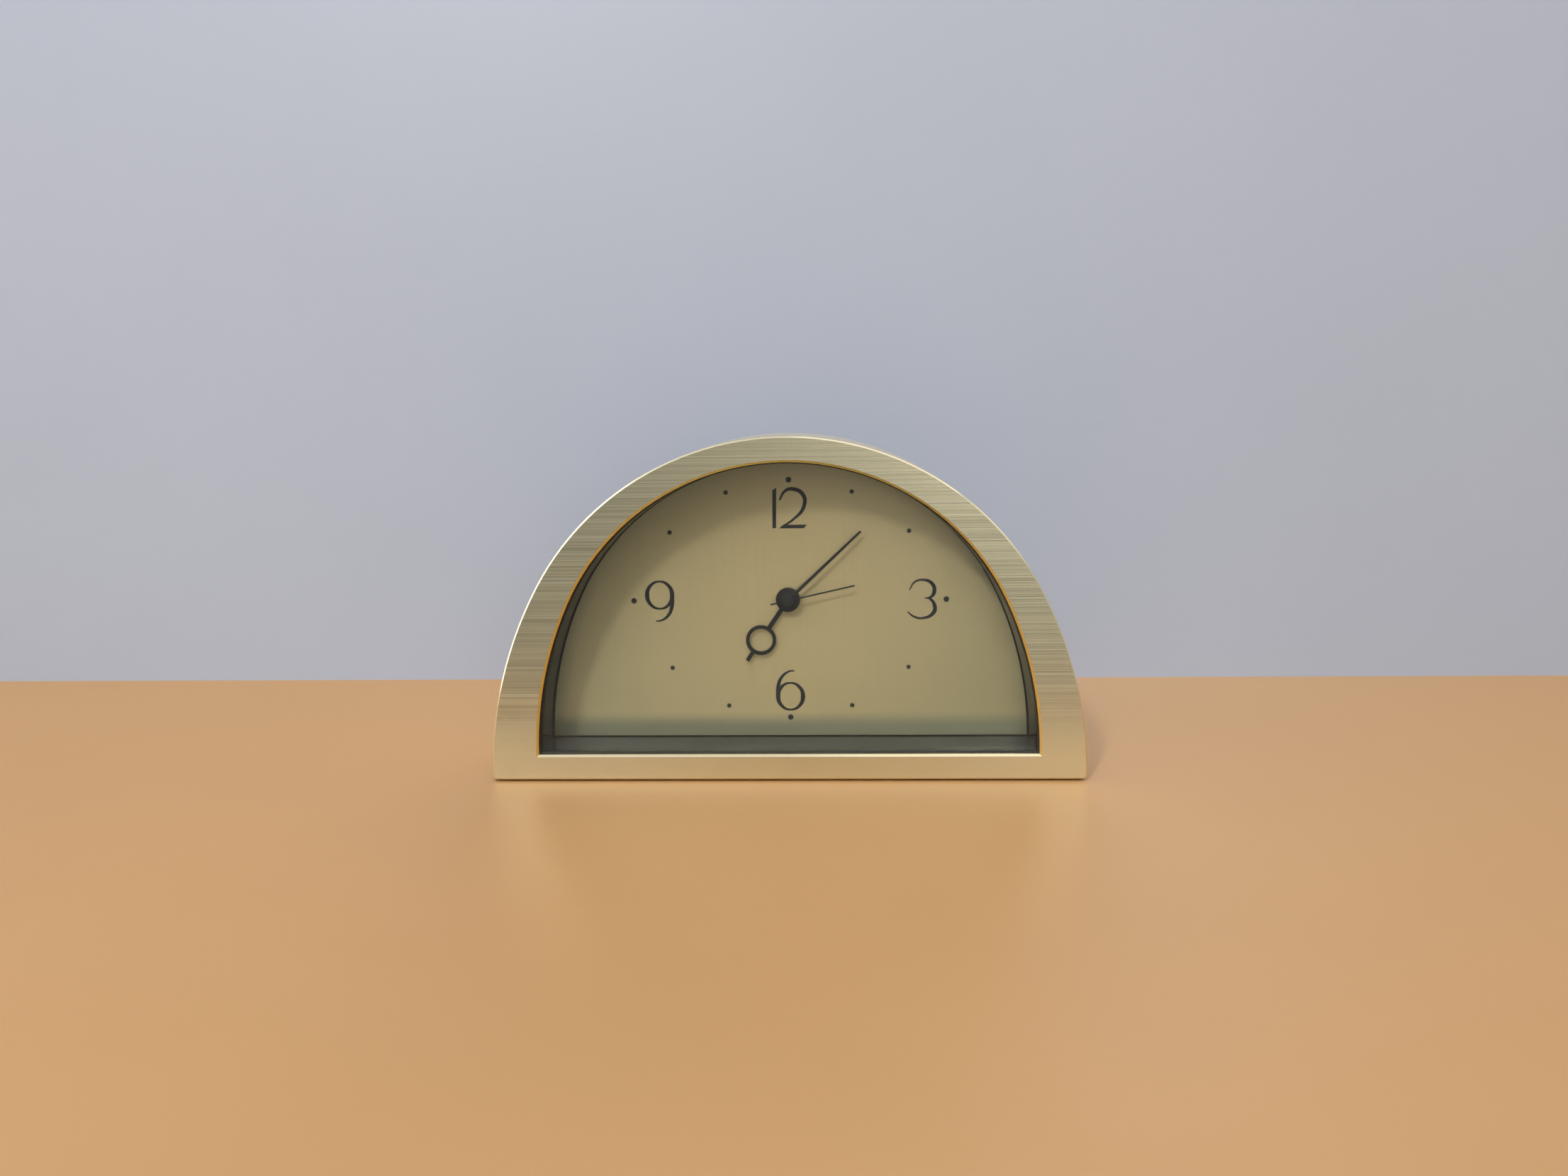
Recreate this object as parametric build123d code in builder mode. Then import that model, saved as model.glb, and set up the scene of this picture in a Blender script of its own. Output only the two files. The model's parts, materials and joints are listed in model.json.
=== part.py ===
"""Half-round desk clock: brushed brass-toned case, recessed dial and a three-hand quartz movement.

Millimetres. X runs to the right, Y from the front to the back, Z up.
The origin is on the table, under the middle of the case.
"""
import os
from math import asin, atan2, cos, degrees, radians, sin, sqrt, tan

from build123d import *

# Case
case_width = 190.0
case_height = 109.0
case_depth = 50.0
case_shoulder = 29.0
corner_break = 0.8
shell_wall = 2.5
shell_rear_round = 0.8

# Front frame and the opening in it
frame_thickness = 2.7
frame_bevel = 0.45
lip_chamfer = 0.7
frame_side = 15.1
frame_top = 8.0
rail_height = 8.2
opening_shoulder = 25.0
opening_width = case_width - 2 * frame_side
opening_height = case_height - rail_height - frame_top

# Foot pads
pad_lift = 0.6
pad_recess = 0.4
pad_radius = 6.0
pad_inset_x = 15.0
pad_inset_y = 9.5
pad_gap = 0.05

# Lens and its gasket
gasket_thickness = 0.5
gasket_show = 0.4
lens_thickness = 2.0
lens_overlap = 3.0
lens_gap = 0.3

# Black surround between lens and dial
surround_wall = 1.5
surround_taper = 0.85
surround_flange = 2.0
surround_gap = 0.4
dial_seat = 4.0

# Dial plate
dial_thickness = 0.8
dial_overlap = 4.2
dial_hole_radius = 3.7
dial_foot_radius = 1.25
dial_foot_length = 4.0
arbor_height = 55.1

# Fasteners
front_screw_radius = 1.2
front_screw_bite = 1.7
front_screw_heights = (26.0, 56.0)
dial_screw_radius = 0.8
dial_screw_bite = 3.2
dial_screw_outset = 2.0
dial_screw_heights = (20.0, 62.0)
cover_screw_radius = 1.2
cover_screw_bite = 7.0
cover_screw_heights = (12.0, 42.0)
movement_screw_radius = 0.8
movement_screw_bite = 6.0
small_screw_radius = 0.6
small_screw_bite = 2.5
head_radius_ratio = 1.85
head_height_ratio = 1.1
screw_hole_gap = 0.25
thread_gap = 0.05
thread_end_gap = 0.3
recess_width_ratio = 0.5
recess_reach_ratio = 1.2

# Back cover and the columns it is screwed to
cover_thickness = 2.2
cover_recess = 1.6
cover_gap = 0.3
column_radius = 3.0
column_bite = 0.4
column_length = 11.0
column_notch_gap = 0.5

# Movement box
movement_width = 56.0
movement_height = 56.0
movement_wall = 1.4
movement_floor = 1.5
movement_inside = 13.5
movement_lid_thickness = 2.0
movement_room = 6.4
movement_corner = 3.0
bay_wall = 1.2
bay_height = 15.0
ear_thickness = 1.6
ear_height = 7.0
ear_reach = 6.0
ear_rise = 12.0
ear_hole_gap = 0.1
clip_radius = 3.0
clip_thickness = 0.8
press_gap = 0.02
boss_radius = 3.0
boss_inset = 2.6
bush_wall = 0.94
bush_proud = 0.2

# Coaxial arbors of the hands
running_gap = 0.06
seconds_arbor_radius = 0.5
minute_pipe_radius = 1.5
hour_pipe_radius = 2.5
pivot_radius = 0.4
setting_shaft_radius = 1.2
setting_pivot_radius = 0.6
pivot_depth = 1.2
pivot_end_gap = 0.1
arbor_step = 0.03
collet_wall = 0.9

# Gear layers, counted from the movement floor backwards
layer_thickness = 1.1
layer_gap = 0.4
bridge_thickness = 1.0
bridge_gap = 0.3
post_radius = 1.6
post_gap = 1.0
bridge_post_rise = 13.0
bridge_margin = 0.5
lid_post_radius = 1.3

# Gear trains
third_distance = 9.18
third_bearing = 170.0
setting_distance = 10.2
setting_bearing = 0.0
intermediate_distance = 7.2
intermediate_bearing = 60.0
rotor_distance = 7.0
rotor_bearing = 30.0
rotor_teeth = 8
intermediate_teeth = 48
intermediate_pinion_teeth = 8
seconds_teeth = 40
seconds_pinion_teeth = 8
third_teeth = 60
third_pinion_teeth = 8
centre_teeth = 64
minute_pinion_teeth = 12
minute_wheel_teeth = 48
minute_wheel_pinion_teeth = 15
hour_teeth = 45
tooth_addendum = 0.9
tooth_dedendum = 1.25
tooth_root_share = 0.30
tooth_tip_share = 0.11

# Step motor
magnet_radius = 2.0
magnet_length = 1.2
stator_gap = 0.4
stator_thickness = 1.0
stator_eye_radius = 4.8
stator_bar_width = 3.2
stator_half_span = 15.0
stator_leg_width = 4.0
coil_drop = 5.6
core_width = 3.6
bobbin_radius = 2.5
bobbin_flange_radius = 3.8
bobbin_flange = 0.8
winding_radius = 3.6
coil_length = 22.0
coil_fit_gap = 0.05
stator_post_radius = 2.0

# Circuit board
board_width = 25.0
board_height = 10.8
board_thickness = 1.0
board_stand = 1.3
board_drop = 5.9
board_post_radius = 1.0
board_stake_radius = 0.5
board_stake_proud = 0.3
board_stake_inset = 1.5
board_part_gap = 0.05
crystal_radius = 1.0
crystal_length = 6.0
crystal_inset = 3.5
crystal_drop = 2.5
chip_radius = 2.6
chip_height = 1.1

# Dry cell and its contacts
cell_radius = 7.15
cell_nub_radius = 2.75
cell_nub_length = 1.0
cell_seat_gap = 0.2
cell_edge_round = 0.6
contact_thickness = 0.4
contact_width = 9.0
contact_height = 11.0
contact_gap = 0.1
leaf_bow = 1.9

# Battery door in the back cover
door_side_gap = 0.3
door_top_gap = 0.3
collar_wall = 2.5
collar_gap = 1.2
barrel_radius = 3.1
barrel_gap = 0.3
hinge_pin_radius = 1.2
hinge_pin_length = 1.6
notch_radius = 6.0
notch_depth = 1.0

# Setting knob
knob_radius = 6.5
knob_length = 6.0
knob_proud = 1.2
knob_hole_gap = 0.8
knob_flutes = 24
knob_flute_radius = 0.6
knob_cap = 1.0

# Hands; angles are clockwise from twelve
hour_angle = 213.9
minute_angle = 46.6
second_angle = 77.4
hand_lift = 0.5
hand_gap = 0.4
boss_height = 1.2
hour_sheet = 0.4
hour_boss_radius = 4.0
hour_stem_width = 1.45
hour_tip_width = 1.3
hour_ring_distance = 16.2
hour_ring_radius = 5.0
hour_ring_hole_radius = 3.85
hour_length = 24.5
minute_sheet = 0.35
minute_boss_radius = 3.8
minute_root_width = 1.15
minute_tip_width = 0.7
minute_length = 32.9
second_sheet = 0.3
second_cap_radius = 2.1
second_width = 0.5
second_length = 22.4
second_tail = 5.8
second_cap_wall = 0.5
second_cap_round = 0.3

# Depths along Y that follow from the stack
case_front = -case_depth / 2
case_back = case_depth / 2
frame_back = case_front + frame_thickness
lens_front = frame_back + gasket_thickness
lens_back = lens_front + lens_thickness
flange_back = lens_back + surround_flange
cover_back = case_back - cover_recess
cover_front = cover_back - cover_thickness
lid_back = cover_front - movement_room
lid_front = lid_back - movement_lid_thickness
floor_back = lid_front - movement_inside
dial_back = floor_back - movement_floor
dial_front = dial_back - dial_thickness
surround_depth = dial_front - lens_back
front_thread_end = frame_back - front_screw_bite - thread_end_gap
dial_thread_end = dial_front - dial_screw_bite - thread_end_gap
cover_thread_end = cover_front - cover_screw_bite - thread_end_gap
boss_thread_end = lid_front - movement_screw_bite - thread_end_gap
layer_pitch = layer_thickness + layer_gap
hour_layer = floor_back + layer_gap
minute_layer = hour_layer + layer_pitch
centre_layer = minute_layer + layer_pitch
third_layer = centre_layer + layer_pitch
bridge_front = third_layer + layer_thickness + bridge_gap
bridge_back = bridge_front + bridge_thickness
seconds_layer = bridge_back + bridge_gap
intermediate_layer = seconds_layer + layer_pitch
train_back = intermediate_layer + layer_thickness
lid_post_front = train_back + layer_gap
lid_pivot_tip = lid_post_front + pivot_depth
lid_pivot_end = lid_pivot_tip + pivot_end_gap
bridge_pivot_end = bridge_front + pivot_end_gap
floor_pivot_end = floor_back - pivot_depth + pivot_end_gap
bridge_thread_end = bridge_front - small_screw_bite - thread_end_gap
stator_front = seconds_layer + (magnet_length - stator_thickness) / 2
stator_back = stator_front + stator_thickness
core_back = stator_back + stator_thickness
core_middle = (stator_back + core_back) / 2
stator_thread_end = stator_front - small_screw_bite - thread_end_gap
ear_back = dial_back + ear_thickness
board_front = floor_back + board_stand
board_back = board_front + board_thickness
hour_hand_back = dial_front - hand_lift
hour_hand_front = hour_hand_back - boss_height
minute_hand_back = hour_hand_front - hand_gap
minute_hand_front = minute_hand_back - boss_height
second_hand_back = minute_hand_front - hand_gap
second_hand_front = second_hand_back - boss_height
cell_y = floor_back + cell_seat_gap + cell_radius
knob_back = cover_back + knob_proud
hinge_y = cover_back - barrel_radius
collar_front = lid_back + collar_gap

# Heights
case_base = pad_lift
arbor_z = case_base + arbor_height
movement_bottom = arbor_z - movement_height / 2
movement_top = arbor_z + movement_height / 2
bay_bottom = movement_bottom + movement_wall
bay_top = bay_bottom + bay_height
chamber_bottom = bay_top + bay_wall
chamber_top = movement_top - movement_wall
chamber_half = movement_width / 2 - movement_wall
chamber_x = (-chamber_half, chamber_half)
cell_z = (bay_bottom + bay_top) / 2
cell_end = chamber_half - contact_thickness - contact_gap
leaf_x = contact_thickness - chamber_half + leaf_bow
cell_length = cell_end - cell_nub_length - contact_gap - leaf_x
hinge_z = bay_bottom - barrel_radius
window_bottom = hinge_z - barrel_radius - barrel_gap
hinge_hole_end = chamber_half - door_side_gap + hinge_pin_length + barrel_gap

# An arch is its half width, its flat bottom, its height and the angle where side and top arcs meet
case_arch = (case_width / 2, case_base, case_height, case_shoulder)
opening_arch = (opening_width / 2, case_base + rail_height, opening_height, opening_shoulder)


def arch_centres(arch):
    """Side-arc offset and radius, and top-arc height and radius, of an arch."""
    half_width, bottom, height, shoulder = arch
    meet = radians(shoulder)
    side_offset = (height - half_width) / (1 + tan(meet) - 1 / cos(meet))
    top_rise = side_offset * tan(meet)
    return side_offset, half_width + side_offset, bottom + top_rise, height - top_rise


def arch_face(arch, outset=0.0):
    """Face of an arch, moved outwards by outset all round."""
    bottom = arch[1]
    shoulder = arch[3]
    side_offset, side_radius, top_z, top_radius = arch_centres(arch)
    side_radius = side_radius + outset
    foot = -degrees(asin(outset / side_radius))
    with BuildSketch() as face:
        with BuildLine():
            right = CenterArc((-side_offset, bottom), side_radius, foot, shoulder - foot)
            CenterArc((0, top_z), top_radius + outset, shoulder, 180 - 2 * shoulder)
            left = CenterArc((side_offset, bottom), side_radius, 180 - shoulder, shoulder - foot)
            Line(left @ 1, right @ 0)
        make_face()
    return face.sketch


def arch_half_width(arch, outset, z):
    """Half width of an arch, moved outwards by outset, at height z."""
    bottom = arch[1]
    shoulder = radians(arch[3])
    side_offset, side_radius, top_z, top_radius = arch_centres(arch)
    side_radius = side_radius + outset
    top_radius = top_radius + outset
    if z <= top_z + top_radius * sin(shoulder):
        return sqrt(side_radius**2 - (z - bottom) ** 2) - side_offset
    return sqrt(top_radius**2 - (z - top_z) ** 2)


def both_sides(arch, outset, heights):
    """Points left and right on an arch, moved outwards by outset, at heights above the case base."""
    points = []
    for height in heights:
        z = case_base + height
        x = arch_half_width(arch, outset, z)
        points += [(-x, z), (x, z)]
    return points


def from_point(start, distance, bearing):
    """Point at a distance and an anticlockwise bearing, seen from the front."""
    return (start[0] + distance * cos(radians(bearing)), start[1] + distance * sin(radians(bearing)))


def bearing_to(start, end):
    """Anticlockwise bearing from one point to another."""
    return degrees(atan2(end[1] - start[1], end[0] - start[0]))


def depth_plane(y):
    """Upright plane at depth y that faces the front."""
    return Plane.XZ.offset(-y)


def across_plane(x, y, z):
    """Upright plane at x that faces the right, centred on a line across the clock."""
    return Plane(origin=(x, y, z), x_dir=(0, 1, 0), z_dir=(1, 0, 0))


def hand_plane(y, angle):
    """Plane at depth y on the arbor, facing the front, with its Y axis along a hand at a clockwise angle."""
    turn = radians(angle)
    return Plane(origin=(0, y, arbor_z), x_dir=(cos(turn), 0, -sin(turn)), z_dir=(0, -1, 0))


def bar(at, radius, front, back, mode=Mode.ADD):
    """Round bar along Y between two depths, or a round hole when subtracted."""
    with BuildSketch(depth_plane(back)) as section:
        with Locations(at):
            Circle(radius)
    extrude(section.sketch, amount=back - front, mode=mode)


def block(x_span, z_span, front, back, mode=Mode.ADD):
    """Square block along Y between two depths, or a pocket when subtracted."""
    with BuildSketch(depth_plane(back)) as section:
        with Locations(((x_span[0] + x_span[1]) / 2, (z_span[0] + z_span[1]) / 2)):
            Rectangle(x_span[1] - x_span[0], z_span[1] - z_span[0])
    extrude(section.sketch, amount=back - front, mode=mode)


def gear(teeth, module, tooth_bearing, at, front):
    """Gear one layer thick whose first tooth points along tooth_bearing."""
    root = module * (teeth / 2 - tooth_dedendum)
    tip = module * (teeth / 2 + tooth_addendum)
    corners = (
        (root, -tooth_root_share),
        (tip, -tooth_tip_share),
        (tip, tooth_tip_share),
        (root, tooth_root_share),
    )
    points = []
    for tooth in range(teeth):
        for radius, share in corners:
            points.append(from_point(at, radius, tooth_bearing + (tooth + share) * 360 / teeth))
    with BuildSketch(depth_plane(front + layer_thickness)) as section:
        with BuildLine():
            Polyline(*points, close=True)
        make_face()
    extrude(section.sketch, amount=layer_thickness)


def mesh_module(distance, teeth, other_teeth):
    """Module of two gears in mesh at a centre distance."""
    return 2 * distance / (teeth + other_teeth)


def gap_bearing(start, end, teeth):
    """First-tooth bearing that turns a gap of the gear at start towards end."""
    return bearing_to(start, end) + 180 / teeth


def screw(at, seat, radius, length):
    """Cross-recessed screw driven from the back, with its head on the depth called seat."""
    head_radius = radius * head_radius_ratio
    head_height = radius * head_height_ratio
    bar(at, radius, seat - length, seat)
    head_back = seat + head_height
    bar(at, head_radius, seat, head_back)
    slot = radius * recess_width_ratio / 2
    reach = radius * recess_reach_ratio
    recess_front = seat + head_height / 2
    across = (at[0] - reach, at[0] + reach)
    upright = (at[1] - reach, at[1] + reach)
    block(across, (at[1] - slot, at[1] + slot), recess_front, head_back, Mode.SUBTRACT)
    block((at[0] - slot, at[0] + slot), upright, recess_front, head_back, Mode.SUBTRACT)


def finish(piece, name):
    """Label a finished piece and write it."""
    piece.part.label = name
    export_step(piece.part, f"parts/{name}.step")


os.makedirs("parts", exist_ok=True)

# Axes of the movement, as points seen from the front
arbor = (0.0, arbor_z)
third_axis = from_point(arbor, third_distance, third_bearing)
setting_axis = from_point(arbor, setting_distance, setting_bearing)
intermediate_axis = from_point(arbor, intermediate_distance, intermediate_bearing)
rotor_axis = from_point(intermediate_axis, rotor_distance, rotor_bearing)

# Fastener places
lens_pocket = lens_overlap + lens_gap
front_screw_points = []
for pocket_point, wall_point in zip(
    both_sides(opening_arch, lens_pocket, front_screw_heights),
    both_sides(case_arch, -shell_wall, front_screw_heights),
):
    front_screw_points.append(((pocket_point[0] + wall_point[0]) / 2, pocket_point[1]))
dial_screw_points = both_sides(opening_arch, dial_screw_outset, dial_screw_heights)
dial_screw_points.append((0.0, opening_arch[1] + opening_height + dial_screw_outset))
column_points = both_sides(case_arch, column_bite - shell_wall - column_radius, cover_screw_heights)
ear_x = movement_width / 2 + ear_reach / 2
ear_points = [(side * ear_x, arbor_z + rise * ear_rise) for side in (-1, 1) for rise in (-1, 1)]
boss_x = chamber_half - boss_inset
boss_heights = (chamber_bottom + boss_inset, chamber_top - boss_inset)
boss_points = [(side * boss_x, z) for side in (-1, 1) for z in boss_heights]
bridge_post_z = chamber_bottom + post_radius + post_gap
bridge_post_x = boss_x - boss_radius - post_radius - post_gap
bridge_post_top = arbor_z + bridge_post_rise
bridge_post_points = [(-bridge_post_x, bridge_post_z), (bridge_post_x, bridge_post_z), (0.0, bridge_post_top)]
coil_z = chamber_top - coil_drop
board_z = chamber_top - board_drop
stator_post_points = [(-stator_half_span, coil_z), (stator_half_span, coil_z)]
stake_x = board_width / 2 - board_stake_inset
stake_rise = board_height / 2 - board_stake_inset
board_stake_points = [
    (side * stake_x, board_z + row * stake_rise) for side in (-1, 1) for row in (-1, 1)
]


with BuildPart() as front_frame:
    with BuildSketch(depth_plane(frame_back)):
        add(arch_face(case_arch))
        add(arch_face(opening_arch), mode=Mode.SUBTRACT)
    extrude(amount=frame_thickness)
    chamfer(front_frame.edges().filter_by(Axis.Y).group_by(Axis.Z)[0], length=corner_break)
    front_face = front_frame.faces().sort_by(Axis.Y)[0]
    outer_edges = front_face.outer_wire().edges()
    lip_edges = front_face.inner_wires()[0].edges()
    chamfer(outer_edges, length=frame_bevel)
    chamfer(lip_edges, length=lip_chamfer)
    for point in front_screw_points:
        bar(point, front_screw_radius + thread_gap, front_thread_end, frame_back, Mode.SUBTRACT)
finish(front_frame, "front_frame")

with BuildPart() as case_shell:
    with BuildSketch(depth_plane(case_back)):
        add(arch_face(case_arch))
    extrude(amount=case_back - frame_back)
    chamfer(case_shell.edges().filter_by(Axis.Y).group_by(Axis.Z)[0], length=corner_break)
    fillet(case_shell.faces().sort_by(Axis.Y)[-1].outer_wire().edges(), radius=shell_rear_round)
    with BuildSketch(depth_plane(case_back)):
        add(arch_face(case_arch, -shell_wall))
    extrude(amount=case_back - lens_back, mode=Mode.SUBTRACT)
    with BuildSketch(depth_plane(lens_back)):
        add(arch_face(opening_arch, lens_pocket))
    extrude(amount=lens_back - frame_back, mode=Mode.SUBTRACT)
    for point in front_screw_points:
        bar(point, front_screw_radius + screw_hole_gap, frame_back, lens_back, Mode.SUBTRACT)
    for point in column_points:
        bar(point, column_radius, cover_front - column_length, cover_front)
    for point in column_points:
        bar(point, cover_screw_radius + thread_gap, cover_thread_end, cover_front, Mode.SUBTRACT)
    with BuildSketch(Plane.XY.offset(case_base)):
        with GridLocations(case_width - 2 * pad_inset_x, case_depth - 2 * pad_inset_y, 2, 2):
            Circle(pad_radius)
    extrude(amount=pad_recess, mode=Mode.SUBTRACT)
finish(case_shell, "case_shell")

with BuildPart() as foot_pads:
    with BuildSketch(Plane.XY):
        with GridLocations(case_width - 2 * pad_inset_x, case_depth - 2 * pad_inset_y, 2, 2):
            Circle(pad_radius - pad_gap)
    extrude(amount=pad_lift + pad_recess)
finish(foot_pads, "foot_pads")

with BuildPart() as lens_gasket:
    with BuildSketch(depth_plane(lens_front)):
        add(arch_face(opening_arch, lens_overlap))
        add(arch_face(opening_arch, -gasket_show), mode=Mode.SUBTRACT)
    extrude(amount=gasket_thickness)
finish(lens_gasket, "lens_gasket")

with BuildPart() as lens:
    with BuildSketch(depth_plane(lens_back)):
        add(arch_face(opening_arch, lens_overlap))
    extrude(amount=lens_thickness)
finish(lens, "lens")

with BuildPart() as dial_surround:
    with BuildSketch(depth_plane(dial_front)):
        add(arch_face(opening_arch, surround_wall))
    extrude(amount=surround_depth)
    with BuildSketch(depth_plane(flange_back)):
        add(arch_face(case_arch, -shell_wall - surround_gap))
        with Locations(*column_points):
            Circle(column_radius + column_notch_gap, mode=Mode.SUBTRACT)
    extrude(amount=surround_flange)
    with BuildSketch(depth_plane(dial_front)):
        add(arch_face(opening_arch, dial_overlap))
    extrude(amount=dial_seat)
    with BuildSketch(depth_plane(dial_front)):
        add(arch_face(opening_arch, -surround_taper))
    with BuildSketch(depth_plane(lens_back)):
        add(arch_face(opening_arch))
    loft(ruled=True, mode=Mode.SUBTRACT)
    for point in front_screw_points:
        bar(point, front_screw_radius + screw_hole_gap, lens_back, flange_back, Mode.SUBTRACT)
    for point in dial_screw_points:
        bar(point, dial_screw_radius + thread_gap, dial_thread_end, dial_front, Mode.SUBTRACT)
finish(dial_surround, "dial_surround")

with BuildPart() as front_screws:
    for point in front_screw_points:
        screw(point, flange_back, front_screw_radius, flange_back - frame_back + front_screw_bite)
finish(front_screws, "front_screws")

with BuildPart() as dial_plate:
    with BuildSketch(depth_plane(dial_back)):
        add(arch_face(opening_arch, dial_overlap))
    extrude(amount=dial_thickness)
    bar(arbor, dial_hole_radius, dial_front, dial_back, Mode.SUBTRACT)
    for point in dial_screw_points:
        bar(point, dial_screw_radius + screw_hole_gap, dial_front, dial_back, Mode.SUBTRACT)
    for point in ear_points:
        bar(point, dial_foot_radius, dial_back, dial_back + dial_foot_length)
finish(dial_plate, "dial_plate")

with BuildPart() as dial_screws:
    for point in dial_screw_points:
        screw(point, dial_back, dial_screw_radius, dial_thickness + dial_screw_bite)
finish(dial_screws, "dial_screws")

with BuildPart() as movement_clips:
    for point in ear_points:
        bar(point, clip_radius, ear_back, ear_back + clip_thickness)
        bar(point, dial_foot_radius + press_gap, ear_back, ear_back + clip_thickness, Mode.SUBTRACT)
finish(movement_clips, "movement_clips")

with BuildPart() as movement_housing:
    with BuildSketch(depth_plane(lid_front)):
        with Locations(arbor):
            RectangleRounded(movement_width, movement_height, movement_corner)
    extrude(amount=lid_front - dial_back)
    block(chamber_x, (chamber_bottom, chamber_top), floor_back, lid_front, Mode.SUBTRACT)
    block(chamber_x, (bay_bottom, bay_top), floor_back, lid_front, Mode.SUBTRACT)
    for point in ear_points:
        ear_root = point[0] * (movement_width - movement_wall) / 2 / ear_x
        ear_tip = point[0] * (ear_x + ear_reach / 2) / ear_x
        ear_z = (point[1] - ear_height / 2, point[1] + ear_height / 2)
        block(sorted((ear_root, ear_tip)), ear_z, dial_back, ear_back)
        bar(point, dial_foot_radius + ear_hole_gap, dial_back, ear_back, Mode.SUBTRACT)
    for point in boss_points:
        bar(point, boss_radius, floor_back, lid_front)
        bar(point, movement_screw_radius + thread_gap, boss_thread_end, lid_front, Mode.SUBTRACT)
    for point in bridge_post_points:
        bar(point, post_radius, floor_back, bridge_front)
        bar(point, small_screw_radius + thread_gap, bridge_thread_end, bridge_front, Mode.SUBTRACT)
    for point in stator_post_points:
        bar(point, stator_post_radius, floor_back, stator_front)
        bar(point, small_screw_radius + thread_gap, stator_thread_end, stator_front, Mode.SUBTRACT)
    for point in board_stake_points:
        bar(point, board_post_radius, floor_back, board_front)
        bar(point, board_stake_radius, board_front, board_back + board_stake_proud)
    bar(arbor, hour_pipe_radius + running_gap + bush_wall, dial_front - bush_proud, dial_back)
    bar(arbor, hour_pipe_radius + running_gap, dial_front - bush_proud, floor_back, Mode.SUBTRACT)
    bar(third_axis, pivot_radius + running_gap, floor_back - pivot_depth, floor_back, Mode.SUBTRACT)
    bar(setting_axis, setting_pivot_radius + running_gap, floor_back - pivot_depth, floor_back, Mode.SUBTRACT)
finish(movement_housing, "movement_housing")

with BuildPart() as movement_lid:
    with BuildSketch(depth_plane(lid_back)):
        with Locations(arbor):
            RectangleRounded(movement_width, movement_height, movement_corner)
    extrude(amount=movement_lid_thickness)
    block(chamber_x, (bay_bottom, bay_top), lid_front, lid_back, Mode.SUBTRACT)
    for point in (arbor, intermediate_axis, rotor_axis):
        bar(point, lid_post_radius, lid_post_front, lid_front)
    bar(arbor, seconds_arbor_radius + running_gap, lid_post_front, lid_pivot_end, Mode.SUBTRACT)
    for point in (intermediate_axis, rotor_axis):
        bar(point, pivot_radius + running_gap, lid_post_front, lid_pivot_end, Mode.SUBTRACT)
    bar(setting_axis, setting_shaft_radius + running_gap, lid_front, lid_back, Mode.SUBTRACT)
    for point in boss_points:
        bar(point, movement_screw_radius + screw_hole_gap, lid_front, lid_back, Mode.SUBTRACT)
finish(movement_lid, "movement_lid")

with BuildPart() as movement_screws:
    for point in boss_points:
        screw(point, lid_back, movement_screw_radius, movement_lid_thickness + movement_screw_bite)
finish(movement_screws, "movement_screws")

with BuildPart() as train_bridge:
    bridge_half = bridge_post_x + post_radius + bridge_margin
    bridge_z = (bridge_post_z - post_radius - bridge_margin, bridge_post_top + post_radius + bridge_margin)
    block((-bridge_half, bridge_half), bridge_z, bridge_front, bridge_back)
    bar(arbor, seconds_arbor_radius + running_gap, bridge_front, bridge_back, Mode.SUBTRACT)
    bar(setting_axis, setting_shaft_radius + running_gap, bridge_front, bridge_back, Mode.SUBTRACT)
    for point in (third_axis, intermediate_axis, rotor_axis):
        bar(point, pivot_radius + running_gap, bridge_front, bridge_back, Mode.SUBTRACT)
    for point in bridge_post_points:
        bar(point, small_screw_radius + screw_hole_gap, bridge_front, bridge_back, Mode.SUBTRACT)
finish(train_bridge, "train_bridge")

with BuildPart() as bridge_screws:
    for point in bridge_post_points:
        screw(point, bridge_back, small_screw_radius, bridge_thickness + small_screw_bite)
finish(bridge_screws, "bridge_screws")

with BuildPart() as stator:
    leg_x = stator_half_span + stator_leg_width / 2
    window_x = stator_half_span - stator_leg_width / 2
    bar_bottom = rotor_axis[1] - stator_bar_width / 2
    bar_top = rotor_axis[1] + stator_bar_width / 2
    leg_top = coil_z + core_width / 2
    block((-leg_x, leg_x), (bar_bottom, leg_top), stator_front, stator_back)
    block((-window_x, window_x), (bar_top, leg_top), stator_front, stator_back, Mode.SUBTRACT)
    bar(rotor_axis, stator_eye_radius, stator_front, stator_back)
    bar(rotor_axis, magnet_radius + stator_gap, stator_front, stator_back, Mode.SUBTRACT)
    for point in stator_post_points:
        bar(point, small_screw_radius + screw_hole_gap, stator_front, stator_back, Mode.SUBTRACT)
finish(stator, "stator")

with BuildPart() as coil_core:
    block((-leg_x, leg_x), (coil_z - core_width / 2, leg_top), stator_back, core_back)
    for point in stator_post_points:
        bar(point, small_screw_radius + screw_hole_gap, stator_back, core_back, Mode.SUBTRACT)
finish(coil_core, "coil_core")

with BuildPart() as stator_screws:
    for point in stator_post_points:
        screw(point, core_back, small_screw_radius, core_back - stator_front + small_screw_bite)
finish(stator_screws, "stator_screws")

with BuildPart() as coil_bobbin:
    left_end = across_plane(-coil_length / 2, core_middle, coil_z)
    right_flange = across_plane(coil_length / 2 - bobbin_flange, core_middle, coil_z)
    with BuildSketch(left_end):
        Circle(bobbin_radius)
    extrude(amount=coil_length)
    with BuildSketch(left_end, right_flange):
        Circle(bobbin_flange_radius)
    extrude(amount=bobbin_flange)
    with BuildSketch(left_end):
        Rectangle(stator_thickness + 2 * coil_fit_gap, core_width + 2 * coil_fit_gap)
    extrude(amount=coil_length, mode=Mode.SUBTRACT)
finish(coil_bobbin, "coil_bobbin")

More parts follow.
